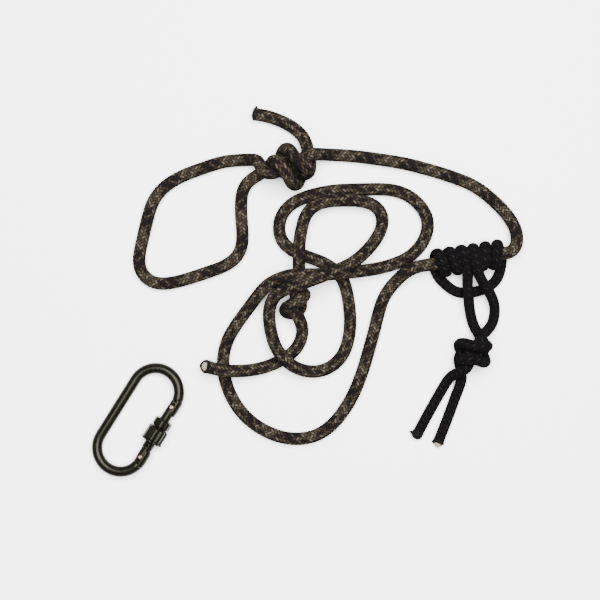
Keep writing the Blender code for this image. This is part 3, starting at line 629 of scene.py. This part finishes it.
def pressed_turns(line, offsets):
    """The hitch's turns are pressed flat against the rope that they grip."""
    centre = np.array(HITCH_CENTRE)
    axis = hitch_axis()
    away = line - centre
    along = away @ axis
    radial = away - along[:, None] * axis
    distance = np.linalg.norm(radial, axis=1)
    radial /= np.maximum(distance, 1e-9)[:, None]
    near = np.clip((TURN_RADIUS + PRESS_ROOM - distance) / PRESS_FADE, 0.0, 1.0)
    near *= np.clip((HITCH_REACH + PRESS_PAST_END - np.abs(along)) / PRESS_END_FADE, 0.0, 1.0)
    inward = (offsets * radial[:, None]).sum(2)
    flatter = offsets - (inward * (near * (1 - TURN_FLATTENING))[:, None])[:, :, None] * radial[:, None]
    side = (offsets * axis).sum(2)
    return flatter + (side * (TURN_WIDENING * near)[:, None])[:, :, None] * axis


def slanted_end(line, offsets, slant):
    """The last end is cut slantwise and its sheath opens a little, so that its core faces up."""
    lengths = lengths_along(line)
    share = np.clip(1 - (lengths[-1] - lengths) / SLANT_RUN, 0.0, 1.0)
    back = offsets[:, :, 2] * share[:, None] * slant
    opened = offsets * (1 + SLANT_OPENING * share**4)[:, None, None]
    return opened - back[:, :, None] * directions_of(line)[-1]


def shaped_rope(line, offsets):
    return slanted_end(line, offsets, ROPE_SLANT)


def shaped_cord(line, offsets):
    return slanted_end(line, pressed_turns(line, offsets), CORD_SLANT)


# ---------------------------------------------------------------- materials
def new_material(name):
    material = bpy.data.materials.new(name)
    material.use_nodes = True
    return material, material.node_tree, material.node_tree.nodes["Principled BSDF"]


def put(tree, socket, value):
    if isinstance(value, bpy.types.NodeSocket):
        tree.links.new(value, socket)
    else:
        socket.default_value = value


def maths(tree, operation, *values):
    node = tree.nodes.new("ShaderNodeMath")
    node.operation = operation
    for socket, value in zip(node.inputs, values):
        put(tree, socket, value)
    return node.outputs[0]


def choose(tree, choice, off, on):
    """One of two numbers, by a choice of 0 or 1."""
    node = tree.nodes.new("ShaderNodeMix")
    node.data_type = "FLOAT"
    for socket, value in zip((node.inputs[0], node.inputs[2], node.inputs[3]), (choice, off, on)):
        put(tree, socket, value)
    return node.outputs[0]


def mixed(tree, share, first, second, blend="MIX"):
    node = tree.nodes.new("ShaderNodeMix")
    node.data_type = "RGBA"
    node.blend_type = blend
    for socket, value in zip((node.inputs[0], node.inputs[6], node.inputs[7]), (share, first, second)):
        put(tree, socket, value)
    return node.outputs[2]


def noise(tree, vector, scale, detail=2.0):
    node = tree.nodes.new("ShaderNodeTexNoise")
    put(tree, node.inputs["Vector"], vector)
    node.inputs["Scale"].default_value = scale
    node.inputs["Detail"].default_value = detail
    return node.outputs["Fac"]


def stepped_colour(tree, place, colours):
    """One flat colour after another as place goes from 0 to 1."""
    node = tree.nodes.new("ShaderNodeValToRGB")
    ramp = node.color_ramp
    ramp.interpolation = "CONSTANT"
    for index in range(2, len(colours)):
        ramp.elements.new(index / len(colours))
    for index, colour in enumerate(colours):
        ramp.elements[index].position = index / len(colours)
        ramp.elements[index].color = (*colour, 1.0)
    tree.links.new(place, node.inputs[0])
    return node.outputs[0]


def joined_vector(tree, x, y, z=0.0):
    node = tree.nodes.new("ShaderNodeCombineXYZ")
    for socket, value in zip(node.inputs, (x, y, z)):
        put(tree, socket, value)
    return node.outputs[0]


def braid_material(name, right_colours, left_colours, gap_shade_colour, roughness):
    """Braided yarn: each strand has its own colour and fibres along it, with painted shade in the gap
    beside it.
    """
    material, tree, shader = new_material(name)
    calc = partial(maths, tree)
    strands = float(len(right_colours))
    places = tree.nodes.new("ShaderNodeUVMap")
    places.uv_map = "braid"
    split = tree.nodes.new("ShaderNodeSeparateXYZ")
    tree.links.new(places.outputs[0], split.inputs[0])
    around, along = split.outputs[0], split.outputs[1]
    right = calc("ADD", around, along)
    left = calc("SUBTRACT", around, along)
    right_strand = calc("FLOOR", calc("ADD", right, 0.5))
    left_strand = calc("FLOOR", calc("ADD", left, 0.5))
    order = calc("FLOORED_MODULO", calc("ADD", right_strand, left_strand), 4.0)
    on_top = calc("LESS_THAN", order, 1.5)
    right_side = calc("SUBTRACT", right, right_strand)
    left_side = calc("SUBTRACT", left, left_strand)
    across = choose(tree, on_top, left_side, right_side)
    step = calc("ADD", calc("FLOORED_MODULO", order, 2.0), 0.5)
    travel = calc("ADD", choose(tree, on_top, right_side, left_side), step)
    squared = calc("POWER", calc("MULTIPLY", calc("ABSOLUTE", across), 2.1), 2.0)
    crown = calc("SQRT", calc("MAXIMUM", calc("SUBTRACT", 1.0, squared), 0.0))
    wave = calc("SINE", calc("MULTIPLY", travel, math.pi / 2))
    arch = calc("SQRT", calc("MAXIMUM", wave, 0.0))
    height = calc("MULTIPLY", crown, calc("MULTIPLY_ADD", arch, 0.75, 0.25))

    own = choose(tree, on_top, left_strand, right_strand)
    scaled = [calc("MULTIPLY", *pair) for pair in ((across, 9.0), (travel, 1.1), (own, 3.7))]
    fibres = noise(tree, joined_vector(tree, *scaled), 1.0, 3.0)
    patches = noise(tree, joined_vector(tree, around, along), 0.35)
    wander = calc("MULTIPLY", calc("SUBTRACT", patches, 0.5), 1.4)
    picks = []
    for strand, colours in ((right_strand, right_colours), (left_strand, left_colours)):
        place = calc("FLOORED_MODULO", calc("ADD", strand, 0.5), strands)
        picks.append(stepped_colour(tree, calc("DIVIDE", place, strands), colours))
    yarn = mixed(tree, on_top, picks[1], picks[0])
    fading = calc("ADD", 0.30, calc("MULTIPLY", wander, 0.35))
    worn = calc("MULTIPLY_ADD", fibres, 1.3, fading)
    yarn = mixed(tree, 1.0, yarn, joined_vector(tree, worn, worn, worn), "MULTIPLY")
    # Painted shade: the yarn gives way to the dark gap colour where the braid's surface is low, at the
    # strands' edges and where they pass under.
    steep = calc("MULTIPLY", calc("POWER", height, 1.6), 1.1)
    shade = calc("SMOOTH_MIN", steep, 1.0, 0.2)
    colour = mixed(tree, shade, (*gap_shade_colour, 1.0), yarn)
    tree.links.new(colour, shader.inputs["Base Color"])
    shader.inputs["Roughness"].default_value = roughness
    shader.inputs["Specular IOR Level"].default_value = 0.0
    shader.inputs["Sheen Weight"].default_value = 0.004
    shader.inputs["Sheen Roughness"].default_value = 0.5
    surface = calc("ADD", height, calc("MULTIPLY", fibres, FIBRE_DEPTH))
    bump = tree.nodes.new("ShaderNodeBump")
    bump.inputs["Strength"].default_value = 1.0
    bump.inputs["Distance"].default_value = 0.0004
    tree.links.new(surface, bump.inputs["Height"])
    tree.links.new(bump.outputs[0], shader.inputs["Normal"])
    return material


END_NODES = ("rope_tail_seal", "rope_free_core", "hitch_tail_left_seal", "hitch_tail_right_core")
BODY_NODES = [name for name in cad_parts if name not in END_NODES]
ROPE_NODES = [name for name in BODY_NODES if name.startswith(("rope_", "loop_knot", "stopper_knot"))]
HITCH_NODES = [name for name in BODY_NODES if name.startswith("hitch_")]


def make_rope(name, line, radius, braid, body, nodes, shaping, material):
    """One whole rope along its settled line. Gives back the fine line that it follows."""
    fine = spaced(smooth_curve(line, 4), braid["ring"])
    tube = braided_tube(name, fine, radius, braid, body, shaping)
    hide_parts(*nodes)
    tube.data.materials.append(material)
    return fine


def make_ropes():
    rope_line, cord_line = lay_out_ropes()
    camo = braid_material("camo_braid", ROPE_RIGHT_STRANDS, ROPE_LEFT_STRANDS, ROPE_GAP_SHADE, 0.72)
    black = braid_material("black_braid", CORD_RIGHT_STRANDS, CORD_LEFT_STRANDS, CORD_GAP_SHADE, 0.62)
    return [
        make_rope(
            "safety_rope", rope_line, ROPE_RADIUS, ROPE_BRAID,
            "rope", ROPE_NODES, shaped_rope, camo,
        ),
        make_rope(
            "hitch_cord", cord_line, CORD_RADIUS, CORD_BRAID,
            "hitch", HITCH_NODES, shaped_cord, black,
        ),
    ]


rope_middle, cord_middle = make_ropes()


# ---------------------------------------------------------------- turned and swept bodies
def new_piece(name, vertices, faces, body, place=None):
    mesh = bpy.data.meshes.new(name)
    mesh.from_pydata(vertices, [], faces)
    mesh.shade_smooth()
    obj = bpy.data.objects.new(name, mesh)
    bpy.context.scene.collection.objects.link(obj)
    if place is not None:
        mesh.transform(place)
    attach(obj, body)
    return obj


def finely(profile, step):
    """The same profile with points no further apart than one step."""
    fine = [profile[0]]
    for before, after in zip(profile, profile[1:]):
        pieces = max(1, math.ceil(math.dist(before, after) / step))
        for i in range(1, pieces + 1):
            fine.append(tuple(a + (b - a) * i / pieces for a, b in zip(before, after)))
    return np.array(fine)


def ring_faces(rings, sides, closed=False):
    """Faces between each ring of points and the next, and back to the first ring if closed."""
    rows = np.arange(rings if closed else rings - 1)[:, None]
    ring = rows * sides
    above = (rows + 1) % rings * sides
    here = np.arange(sides)[None, :]
    after = (here + 1) % sides
    return np.stack([ring + here, above + here, above + after, ring + after], 2).reshape(-1, 4).tolist()


def turned_mesh(profile, sides, relief=None, closed=False):
    """Profile of (radius, height) turned about Y. Relief changes the radius by angle and height."""
    radius, height = profile[:, :1], profile[:, 1:]
    angle = 2 * math.pi * np.arange(sides)[None, :] / sides
    wide = np.broadcast_to(radius, (len(profile), sides))
    tall = np.broadcast_to(height, (len(profile), sides))
    if relief is not None:
        wide = wide + relief(np.broadcast_to(angle, wide.shape), tall, wide)
    vertices = np.stack([wide * np.cos(angle), tall, wide * np.sin(angle)], 2).reshape(-1, 3)
    return vertices.tolist(), ring_faces(len(profile), sides, closed)


def sharpen(obj, angle=32.0):
    """Creases the edges that turn by more than the angle."""
    obj.data.set_sharp_from_angle(angle=math.radians(angle))


def plate(name, outline, thickness, edge, place):
    """Flat outline with rounded edges, ready to be joined to another piece."""
    data = bpy.data.curves.new(name, "CURVE")
    data.dimensions = "2D"
    data.fill_mode = "BOTH"
    data.extrude = thickness / 2 - edge
    data.bevel_depth = edge
    data.bevel_resolution = 3
    data.offset = -edge
    spline = data.splines.new("POLY")
    spline.points.add(len(outline) - 1)
    for point, (x, y) in zip(spline.points, outline):
        point.co = (x, y, 0.0, 1.0)
    spline.use_cyclic_u = True
    holder = bpy.data.objects.new(name, data)
    mesh = bpy.data.meshes.new_from_object(holder)
    bpy.data.objects.remove(holder)
    mesh.transform(place)
    mesh.shade_smooth()
    return mesh


def swept_mesh(line, radii, sides):
    across, over = carried_frames(line)
    angle = 2 * math.pi * np.arange(sides) / sides
    out = np.cos(angle)[None, :, None] * across[:, None] + np.sin(angle)[None, :, None] * over[:, None]
    vertices = line[:, None] + out * radii[:, None, None]
    return vertices.reshape(-1, 3).tolist(), ring_faces(len(line), sides)


# ---------------------------------------------------------------- carabiner
def carabiner_place():
    turn = Matrix.Rotation(CARABINER_TURN, 4, "Z") @ Matrix.Rotation(CARABINER_TILT, 4, "Y")
    return Matrix.Translation(CARABINER_PLACE) @ turn


def gate_place():
    """The gate's pieces are turned about the gate's own long axis."""
    return carabiner_place() @ Matrix.Translation((GATE_X, 0.0, 0.0))


def rod_line():
    """Middle of the bent rod, from its hinge end round the spine to its nose end."""
    line = []
    for centre_y, first, last in (
        (ARC_CENTRE_Y, ROD_END_ANGLE, 180.0),
        (-ARC_CENTRE_Y, 180.0, 360.0 - ROD_END_ANGLE),
    ):
        for angle in np.radians(np.linspace(first, last, 70)):
            line.append((ARC_RADIUS * math.cos(angle), centre_y + ARC_RADIUS * math.sin(angle), 0.0))
    return spaced(np.array(line), ROD_STEP)


def make_frame(steel):
    """Forged frame: a bent round rod whose ends close in to a tang and an outer lug for the gate."""
    line = rod_line()
    steps = np.arange(len(line)) * ROD_STEP
    room = np.minimum(steps, steps[-1] - steps)
    radii = ROD_RADIUS * (1 - 0.5 * np.clip(1 - room / ROD_ROUNDING, 0, 1) ** 3)
    radii += FORGED_SWELL * np.exp(-(((room - FORGED_PLACE) / FORGED_WIDTH) ** 2))
    vertices, faces = swept_mesh(line, radii, ROD_SIDES)
    place = carabiner_place()
    count = len(vertices)
    faces += [list(range(ROD_SIDES)), list(range(count - ROD_SIDES, count))[::-1]]
    frame_piece = new_piece("carabiner_forging", vertices, faces, "carabiner", place)
    for outline in (HINGE_TANG, NOSE_TANG):
        add_mesh(frame_piece, plate("tang", outline, TANG_THICKNESS, 0.0003, place))
    for up in (1, -1):
        vertices, faces = lug_shell(up)
        shell = bpy.data.meshes.new("lug")
        shell.from_pydata(vertices, [], faces)
        shell.transform(gate_place())
        shell.shade_smooth()
        add_mesh(frame_piece, shell)
    clean_up(frame_piece)
    sharpen(frame_piece, 40)
    frame_piece.data.materials.append(steel)
    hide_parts("carabiner_frame")


def add_mesh(target, mesh):
    """Adds another mesh to an object's own."""
    shape = bmesh.new()
    shape.from_mesh(target.data)
    shape.from_mesh(mesh)
    shape.to_mesh(target.data)
    shape.free()


def lug_shell(up):
    """Outer wall at a rod end, curved round the gate: up is 1 at the hinge and -1 at the nose."""
    profile = finely(LUG_PROFILE, 0.0006)
    angles = np.radians(np.linspace(-LUG_SPREAD, LUG_SPREAD, 37))
    thin = 1 - 0.85 * (np.abs(angles) / angles[-1]) ** 6
    middle = (LUG_INNER + LUG_OUTER) / 2
    wide = middle + (profile[:, :1] - middle) * thin
    tall = np.broadcast_to(up * profile[:, 1:], wide.shape)
    vertices = np.stack([wide * np.cos(angles), tall, wide * np.sin(angles)], 2).reshape(-1, 3)
    rows, columns = wide.shape
    here = np.arange(columns - 1)[None, :]
    ring = np.arange(rows)[:, None] * columns
    above = (np.arange(rows)[:, None] + 1) % rows * columns
    faces = np.stack([ring + here, above + here, above + here + 1, ring + here + 1], 2)
    faces = faces.reshape(-1, 4).tolist()
    first = (np.arange(rows) * columns).tolist()
    faces.append(first)
    faces.append([index + columns - 1 for index in reversed(first)])
    return vertices.tolist(), faces


def dome(centre, radius, start, end, steps=10):
    angles = np.radians(np.linspace(start, end, steps + 1))
    return [(abs(radius * math.cos(a)), centre + radius * math.sin(a)) for a in angles]


def thread_relief(angle, height, radius):
    """Screw thread on the gate's barrel."""
    wave = np.abs(np.mod(height / THREAD_PITCH + angle / (2 * math.pi), 1.0) - 0.5) * 2
    below_top = np.clip((THREAD_TOP - height) / RELIEF_FADE, 0, 1)
    above_bottom = np.clip((height - THREAD_BOTTOM) / RELIEF_FADE, 0, 1)
    return -THREAD_DEPTH * below_top * above_bottom * wave * (radius > THREAD_RADIUS)


def lobes(angle, count):
    """Rounded lobes with narrower hollows between them, from 0 at a crest down to -1."""
    return -(0.5 - 0.5 * np.cos(angle * count)) ** 1.5


def nut_relief(angle, height, radius):
    """Finger grips round the nut and its lower flange."""
    outside = np.clip((radius - NUT_CORE) / RELIEF_FADE, 0, 1)
    return outside * lobes(angle, NUT_LOBES) * NUT_GRIP


def collar_relief(angle, height, radius):
    outside = np.clip((radius - COLLAR_CORE) / RELIEF_FADE, 0, 1)
    return outside * lobes(angle + COLLAR_TURN, COLLAR_LOBES) * COLLAR_GRIP


def cut_box(obj, low, high, place):
    shape = bmesh.new()
    bmesh.ops.create_cube(shape, size=1.0)
    size = Vector(high) - Vector(low)
    middle = (Vector(high) + Vector(low)) / 2
    whole_place = place @ Matrix.Translation(middle) @ Matrix.Diagonal((*size, 1.0))
    bmesh.ops.transform(shape, matrix=whole_place, verts=shape.verts)
    mesh = bpy.data.meshes.new("cutter")
    shape.to_mesh(mesh)
    shape.free()
    cutter = bpy.data.objects.new("cutter", mesh)
    bpy.context.scene.collection.objects.link(cutter)
    modifier = obj.modifiers.new("cut", "BOOLEAN")
    modifier.operation = "DIFFERENCE"
    modifier.solver = "EXACT"
    modifier.object = cutter
    bpy.context.view_layer.update()
    result = bpy.data.meshes.new_from_object(obj.evaluated_get(bpy.context.evaluated_depsgraph_get()))
    obj.modifiers.clear()
    obj.data = result
    bpy.data.objects.remove(cutter)


def make_gate(steel):
    profile = [
        (0.0, PIN_Y + GATE_RADIUS),
        *dome(PIN_Y, GATE_RADIUS, 88.0, 0.0),
        (GATE_RADIUS, 0.0135),
        (0.0046, 0.0131),
        (0.0046, 0.0044),
        (BARREL_RADIUS, 0.0040),
        (BARREL_RADIUS, -0.0163),
        (NOSE_RADIUS, -0.0171),
        *dome(-PIN_Y, NOSE_RADIUS, 0.0, -88.0),
        (0.0, -PIN_Y - NOSE_RADIUS),
    ]
    place = gate_place()
    vertices, faces = turned_mesh(finely(profile, 0.00022), 72, thread_relief)
    gate = new_piece("screw_gate", vertices, faces, "gate", place)
    clean_up(gate)
    cut_box(gate, (-0.01, HINGE_SLOT_Y, -SLOT_THICKNESS / 2), (0.01, 0.033, SLOT_THICKNESS / 2), place)
    cut_box(gate, (-0.01, -0.033, -SLOT_THICKNESS / 2), (0.01, NOSE_SLOT_Y, SLOT_THICKNESS / 2), place)
    gate.data.shade_smooth()
    sharpen(gate)
    gate.data.materials.clear()
    gate.data.materials.append(steel)
    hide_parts("carabiner_gate")


def clean_up(obj):
    """Welds points that meet and faces all sides outwards."""
    shape = bmesh.new()
    shape.from_mesh(obj.data)
    bmesh.ops.remove_doubles(shape, verts=shape.verts, dist=0.000002)
    bmesh.ops.recalc_face_normals(shape, faces=shape.faces)
    shape.to_mesh(obj.data)
    shape.free()


def make_lock(steel, bright):
    nut = [
        (0.00535, 0.0042), (0.0062, 0.0042), (0.0078, 0.0040), (0.0087, 0.0034), (0.00925, 0.0026),
        (0.00925, -0.0074), (0.0090, -0.0079), (0.0099, -0.0083), (0.0100, -0.0086), (0.0100, -0.0093),
        (0.0097, -0.0097), (0.0080, -0.0097), (0.0076, -0.0094), (0.0076, -0.0036), (0.00535, -0.0036),
    ]
    collar = [
        (0.00465, 0.0125), (0.0068, 0.0125), (0.0076, 0.0122), (0.0081, 0.0115), (0.0081, 0.0060),
        (0.0076, 0.0053), (0.0068, 0.0050), (0.00465, 0.0050),
    ]
    ring = [
        (0.0056, -0.0040), (0.0072, -0.0040), (0.0073, -0.0045), (0.0072, -0.0050), (0.0056, -0.0050),
    ]
    for name, profile, relief, body, node, slot, material in (
        ("knurled_nut", nut, nut_relief, "lock", "lock_nut", "dark_steel", steel),
        ("hinge_collar", collar, collar_relief, "gate", "gate_collar", "dark_steel", steel),
        ("friction_ring", ring, None, "lock_carrier", "lock_friction_ring", "bright_steel", bright),
    ):
        outline = finely([*profile, profile[0]], 0.00035)[:-1]
        vertices, faces = turned_mesh(outline, 144, relief, closed=True)
        piece = new_piece(name, vertices, faces, body, gate_place())
        clean_up(piece)
        sharpen(piece, 38)
        piece.data.materials.append(material)
        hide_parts(node)


def make_rivets(copper):
    """Rivets with domed, slightly dished heads."""
    head = GATE_RADIUS + 0.0009
    profile = [
        (0.0, head - 0.0002), (0.0007, head - 0.00015), (0.0011, head), (0.0016, head - 0.0002),
        (0.0020, head - 0.0006), (0.0019, head - 0.0009), (0.0014, head - 0.0010),
    ]
    profile = profile + [(radius, -height) for radius, height in reversed(profile)]
    turn = Matrix.Rotation(math.pi / 2, 4, "X")
    for name, y, body, node in (
        ("hinge_rivet_domed", PIN_Y, "carabiner", "hinge_rivet"),
        ("latch_pin_domed", -PIN_Y, "gate", "latch_pin"),
    ):
        vertices, faces = turned_mesh(finely(profile, 0.0003), 40)
        place = gate_place() @ Matrix.Translation((0.0, y, 0.0)) @ turn
        pin = new_piece(name, vertices, faces, body, place)
        clean_up(pin)
        sharpen(pin, 50)
        pin.data.materials.append(copper)
        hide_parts(node)


def metal_material(name, colour, worn_colour, roughness, metallic):
    """Metal with a mottled finish, and fine scratches that show the metal beneath."""
    material, tree, shader = new_material(name)
    calc = partial(maths, tree)
    where = tree.nodes.new("ShaderNodeTexCoord").outputs["Object"]
    mottle = noise(tree, where, 420.0, 4.0)
    stretch = tree.nodes.new("ShaderNodeMapping")
    stretch.inputs["Scale"].default_value = (900.0, 90.0, 900.0)
    stretch.inputs["Rotation"].default_value = (0.0, 0.0, 0.6)
    tree.links.new(where, stretch.inputs["Vector"])
    grain = noise(tree, stretch.outputs[0], 1.0, 3.0)
    marks = calc("MAXIMUM", calc("MULTIPLY_ADD", grain, 2.6, -1.25), 0.0)
    scratch = calc("POWER", marks, 2.0)
    wear = calc("MINIMUM", calc("MULTIPLY_ADD", mottle, 0.5, scratch), 1.0)
    tree.links.new(mixed(tree, wear, (*colour, 1.0), (*worn_colour, 1.0)), shader.inputs["Base Color"])
    tree.links.new(calc("MULTIPLY_ADD", mottle, 0.30, roughness - 0.15), shader.inputs["Roughness"])
    shader.inputs["Metallic"].default_value = metallic
    shader.inputs["Specular IOR Level"].default_value = 0.09
    shader.inputs["Specular Tint"].default_value = (1.0, 0.97, 0.78, 1.0)
    bump = tree.nodes.new("ShaderNodeBump")
    bump.inputs["Strength"].default_value = 0.15
    bump.inputs["Distance"].default_value = 0.0002
    tree.links.new(calc("ADD", mottle, grain), bump.inputs["Height"])
    tree.links.new(bump.outputs[0], shader.inputs["Normal"])
    return material


def make_carabiner():
    steel = metal_material("oxide_steel", (0.0010, 0.0010, 0.0005), (0.0062, 0.0062, 0.0036), 0.28, 0.0)
    bright = metal_material("bare_steel", (0.36, 0.36, 0.34), (0.56, 0.56, 0.54), 0.32, 1.0)
    copper = metal_material("copper_rivet_metal", (0.13, 0.062, 0.048), (0.30, 0.18, 0.15), 0.30, 1.0)
    make_frame(steel)
    make_gate(steel)
    make_lock(steel, bright)
    make_rivets(copper)
    for node in ("gate_spring", "gate_plunger"):
        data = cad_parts[node].data
        data.materials.clear()
        data.materials.append(bright)


make_carabiner()


# ---------------------------------------------------------------- cut ends
def make_end(name, line, slant, body, material, slot, profile, relief, node):
    """Turned body on a rope's cut end, its heights measured outwards, clear of the floor."""
    direction = Vector(line[-1] - line[-5]).normalized()
    lean = Matrix.Identity(3)
    for axis in range(3):
        lean[axis][2] -= slant * direction[axis]
    turn = lean @ direction.to_track_quat("Y", "Z").to_matrix()
    vertices, faces = turned_mesh(finely(profile, 0.0004), 56, relief)
    piece = new_piece(name, vertices, faces, body, Matrix.Translation(line[-1]) @ turn.to_4x4())
    clean_up(piece)
    for vertex in piece.data.vertices:
        vertex.co.z = max(vertex.co.z, FLOOR_CLEARANCE)
    piece.data.materials.append(material)
    if node:
        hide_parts(node)


def lumpy(amount, lobes, seed, nib=0.0):
    """Irregular relief, as melted or cut fibre has, with a drip of the given size on one side."""
    random = np.random.default_rng(seed)
    phases = random.uniform(0, 2 * math.pi, (6, 2))

    def relief(angle, height, radius):
        aside = np.abs(np.mod(angle + math.pi, 2 * math.pi) - math.pi)
        drip = nib * np.exp(-((aside / DRIP_SPREAD) ** 2) - ((height / DRIP_HEIGHT) ** 2))
        total = np.zeros_like(angle)
        for index, (first, second) in enumerate(phases):
            waves = np.cos(height * 1400 * (1 + index / 3) + second)
            total += np.cos(angle * (lobes + 2 * index) + first) * waves / (1 + index)
        outer = radius / 0.004
        return total * amount * np.clip(outer, 0, 1) + drip * np.clip(outer - 0.5, 0, 0.5)

    return relief


def end_materials():
    melted, _, shader = new_material("melted_fibre")
    shader.inputs["Base Color"].default_value = (0.004, 0.0034, 0.0034, 1.0)
    shader.inputs["Roughness"].default_value = 0.6
    shader.inputs["Specular IOR Level"].default_value = 0.02
    bare, tree, shader = new_material("bare_core")
    grain = noise(tree, tree.nodes.new("ShaderNodeTexCoord").outputs["Object"], 2600.0, 3.0)
    colour = mixed(tree, grain, (0.006, 0.0045, 0.004, 1.0), (0.36, 0.30, 0.24, 1.0))
    tree.links.new(colour, shader.inputs["Base Color"])
    shader.inputs["Roughness"].default_value = 0.8
    return melted, bare


def make_ends(rope_line, cord_line):
    """Two melted ends, and two slanted ones with a melted rim round the bare fibres of the core."""
    melted, bare = end_materials()
    caps = (melted, "melted_end")
    cores = (bare, "rope_core")
    rope_tail = (rope_line[::-1], 0.0, "rope")
    rope_end = (rope_line, ROPE_SLANT, "rope")
    cord_left = (cord_line[::-1], 0.0, "hitch")
    cord_right = (cord_line, CORD_SLANT, "hitch")
    for name, end, look, profile, relief, node in (
        ("rope_tail_melt", rope_tail, caps, ROPE_CAP, (0.0004, 3, 1, 0.0044), "rope_tail_seal"),
        ("rope_free_rim", rope_end, caps, ROPE_RIM, (0.0005, 3, 2), None),
        ("rope_free_fibres", rope_end, cores, ROPE_FIBRES, (0.0006, 7, 3), "rope_free_core"),
        ("cord_left_melt", cord_left, caps, CORD_CAP, (0.0003, 2, 5, 0.0052), "hitch_tail_left_seal"),
        ("cord_right_rim", cord_right, caps, CORD_RIM, (0.0005, 3, 6), None),
        ("cord_right_fibres", cord_right, cores, CORD_FIBRES, (0.0006, 5, 7), "hitch_tail_right_core"),
    ):
        make_end(name, *end, *look, profile, lumpy(*relief), node)


make_ends(rope_middle, cord_middle)


# ---------------------------------------------------------------- floor, light and camera
LIGHT_PLACE = (0.08, 0.25, 1.6)
CAMERA_PLACE = (-0.0061, -0.0072, 1.2527)


def light(name, place, size, power):
    """Soft square light that faces the middle of the scene."""
    data = bpy.data.lights.new(name, "AREA")
    data.shape = "SQUARE"
    data.size = size
    data.energy = power
    obj = bpy.data.objects.new(name, data)
    obj.location = place
    obj.rotation_euler = (-Vector(place)).to_track_quat("-Z", "Y").to_euler()
    bpy.context.scene.collection.objects.link(obj)


def make_stage():
    mesh = bpy.data.meshes.new("floor")
    shape = bmesh.new()
    bmesh.ops.create_grid(shape, x_segments=2, y_segments=2, size=6.0)
    shape.to_mesh(mesh)
    shape.free()
    floor = bpy.data.objects.new("floor", mesh)
    bpy.context.scene.collection.objects.link(floor)
    material = bpy.data.materials.new("pale_floor")
    material.use_nodes = True
    shader = material.node_tree.nodes["Principled BSDF"]
    shader.inputs["Base Color"].default_value = (0.95, 0.95, 0.95, 1.0)
    shader.inputs["Roughness"].default_value = 0.9
    mesh.materials.append(material)
    world = bpy.data.worlds.new("studio")
    world.use_nodes = True
    world.node_tree.nodes["Background"].inputs["Color"].default_value = (1.0, 1.0, 1.0, 1.0)
    world.node_tree.nodes["Background"].inputs["Strength"].default_value = 0.45
    bpy.context.scene.world = world
    light("overhead", LIGHT_PLACE, 1.3, 175.0)
    camera = bpy.data.cameras.new("camera")
    camera.lens = 85.0
    camera.sensor_width = 36.0
    obj = bpy.data.objects.new("camera", camera)
    obj.location = CAMERA_PLACE
    bpy.context.scene.collection.objects.link(obj)
    bpy.context.scene.camera = obj


make_stage()
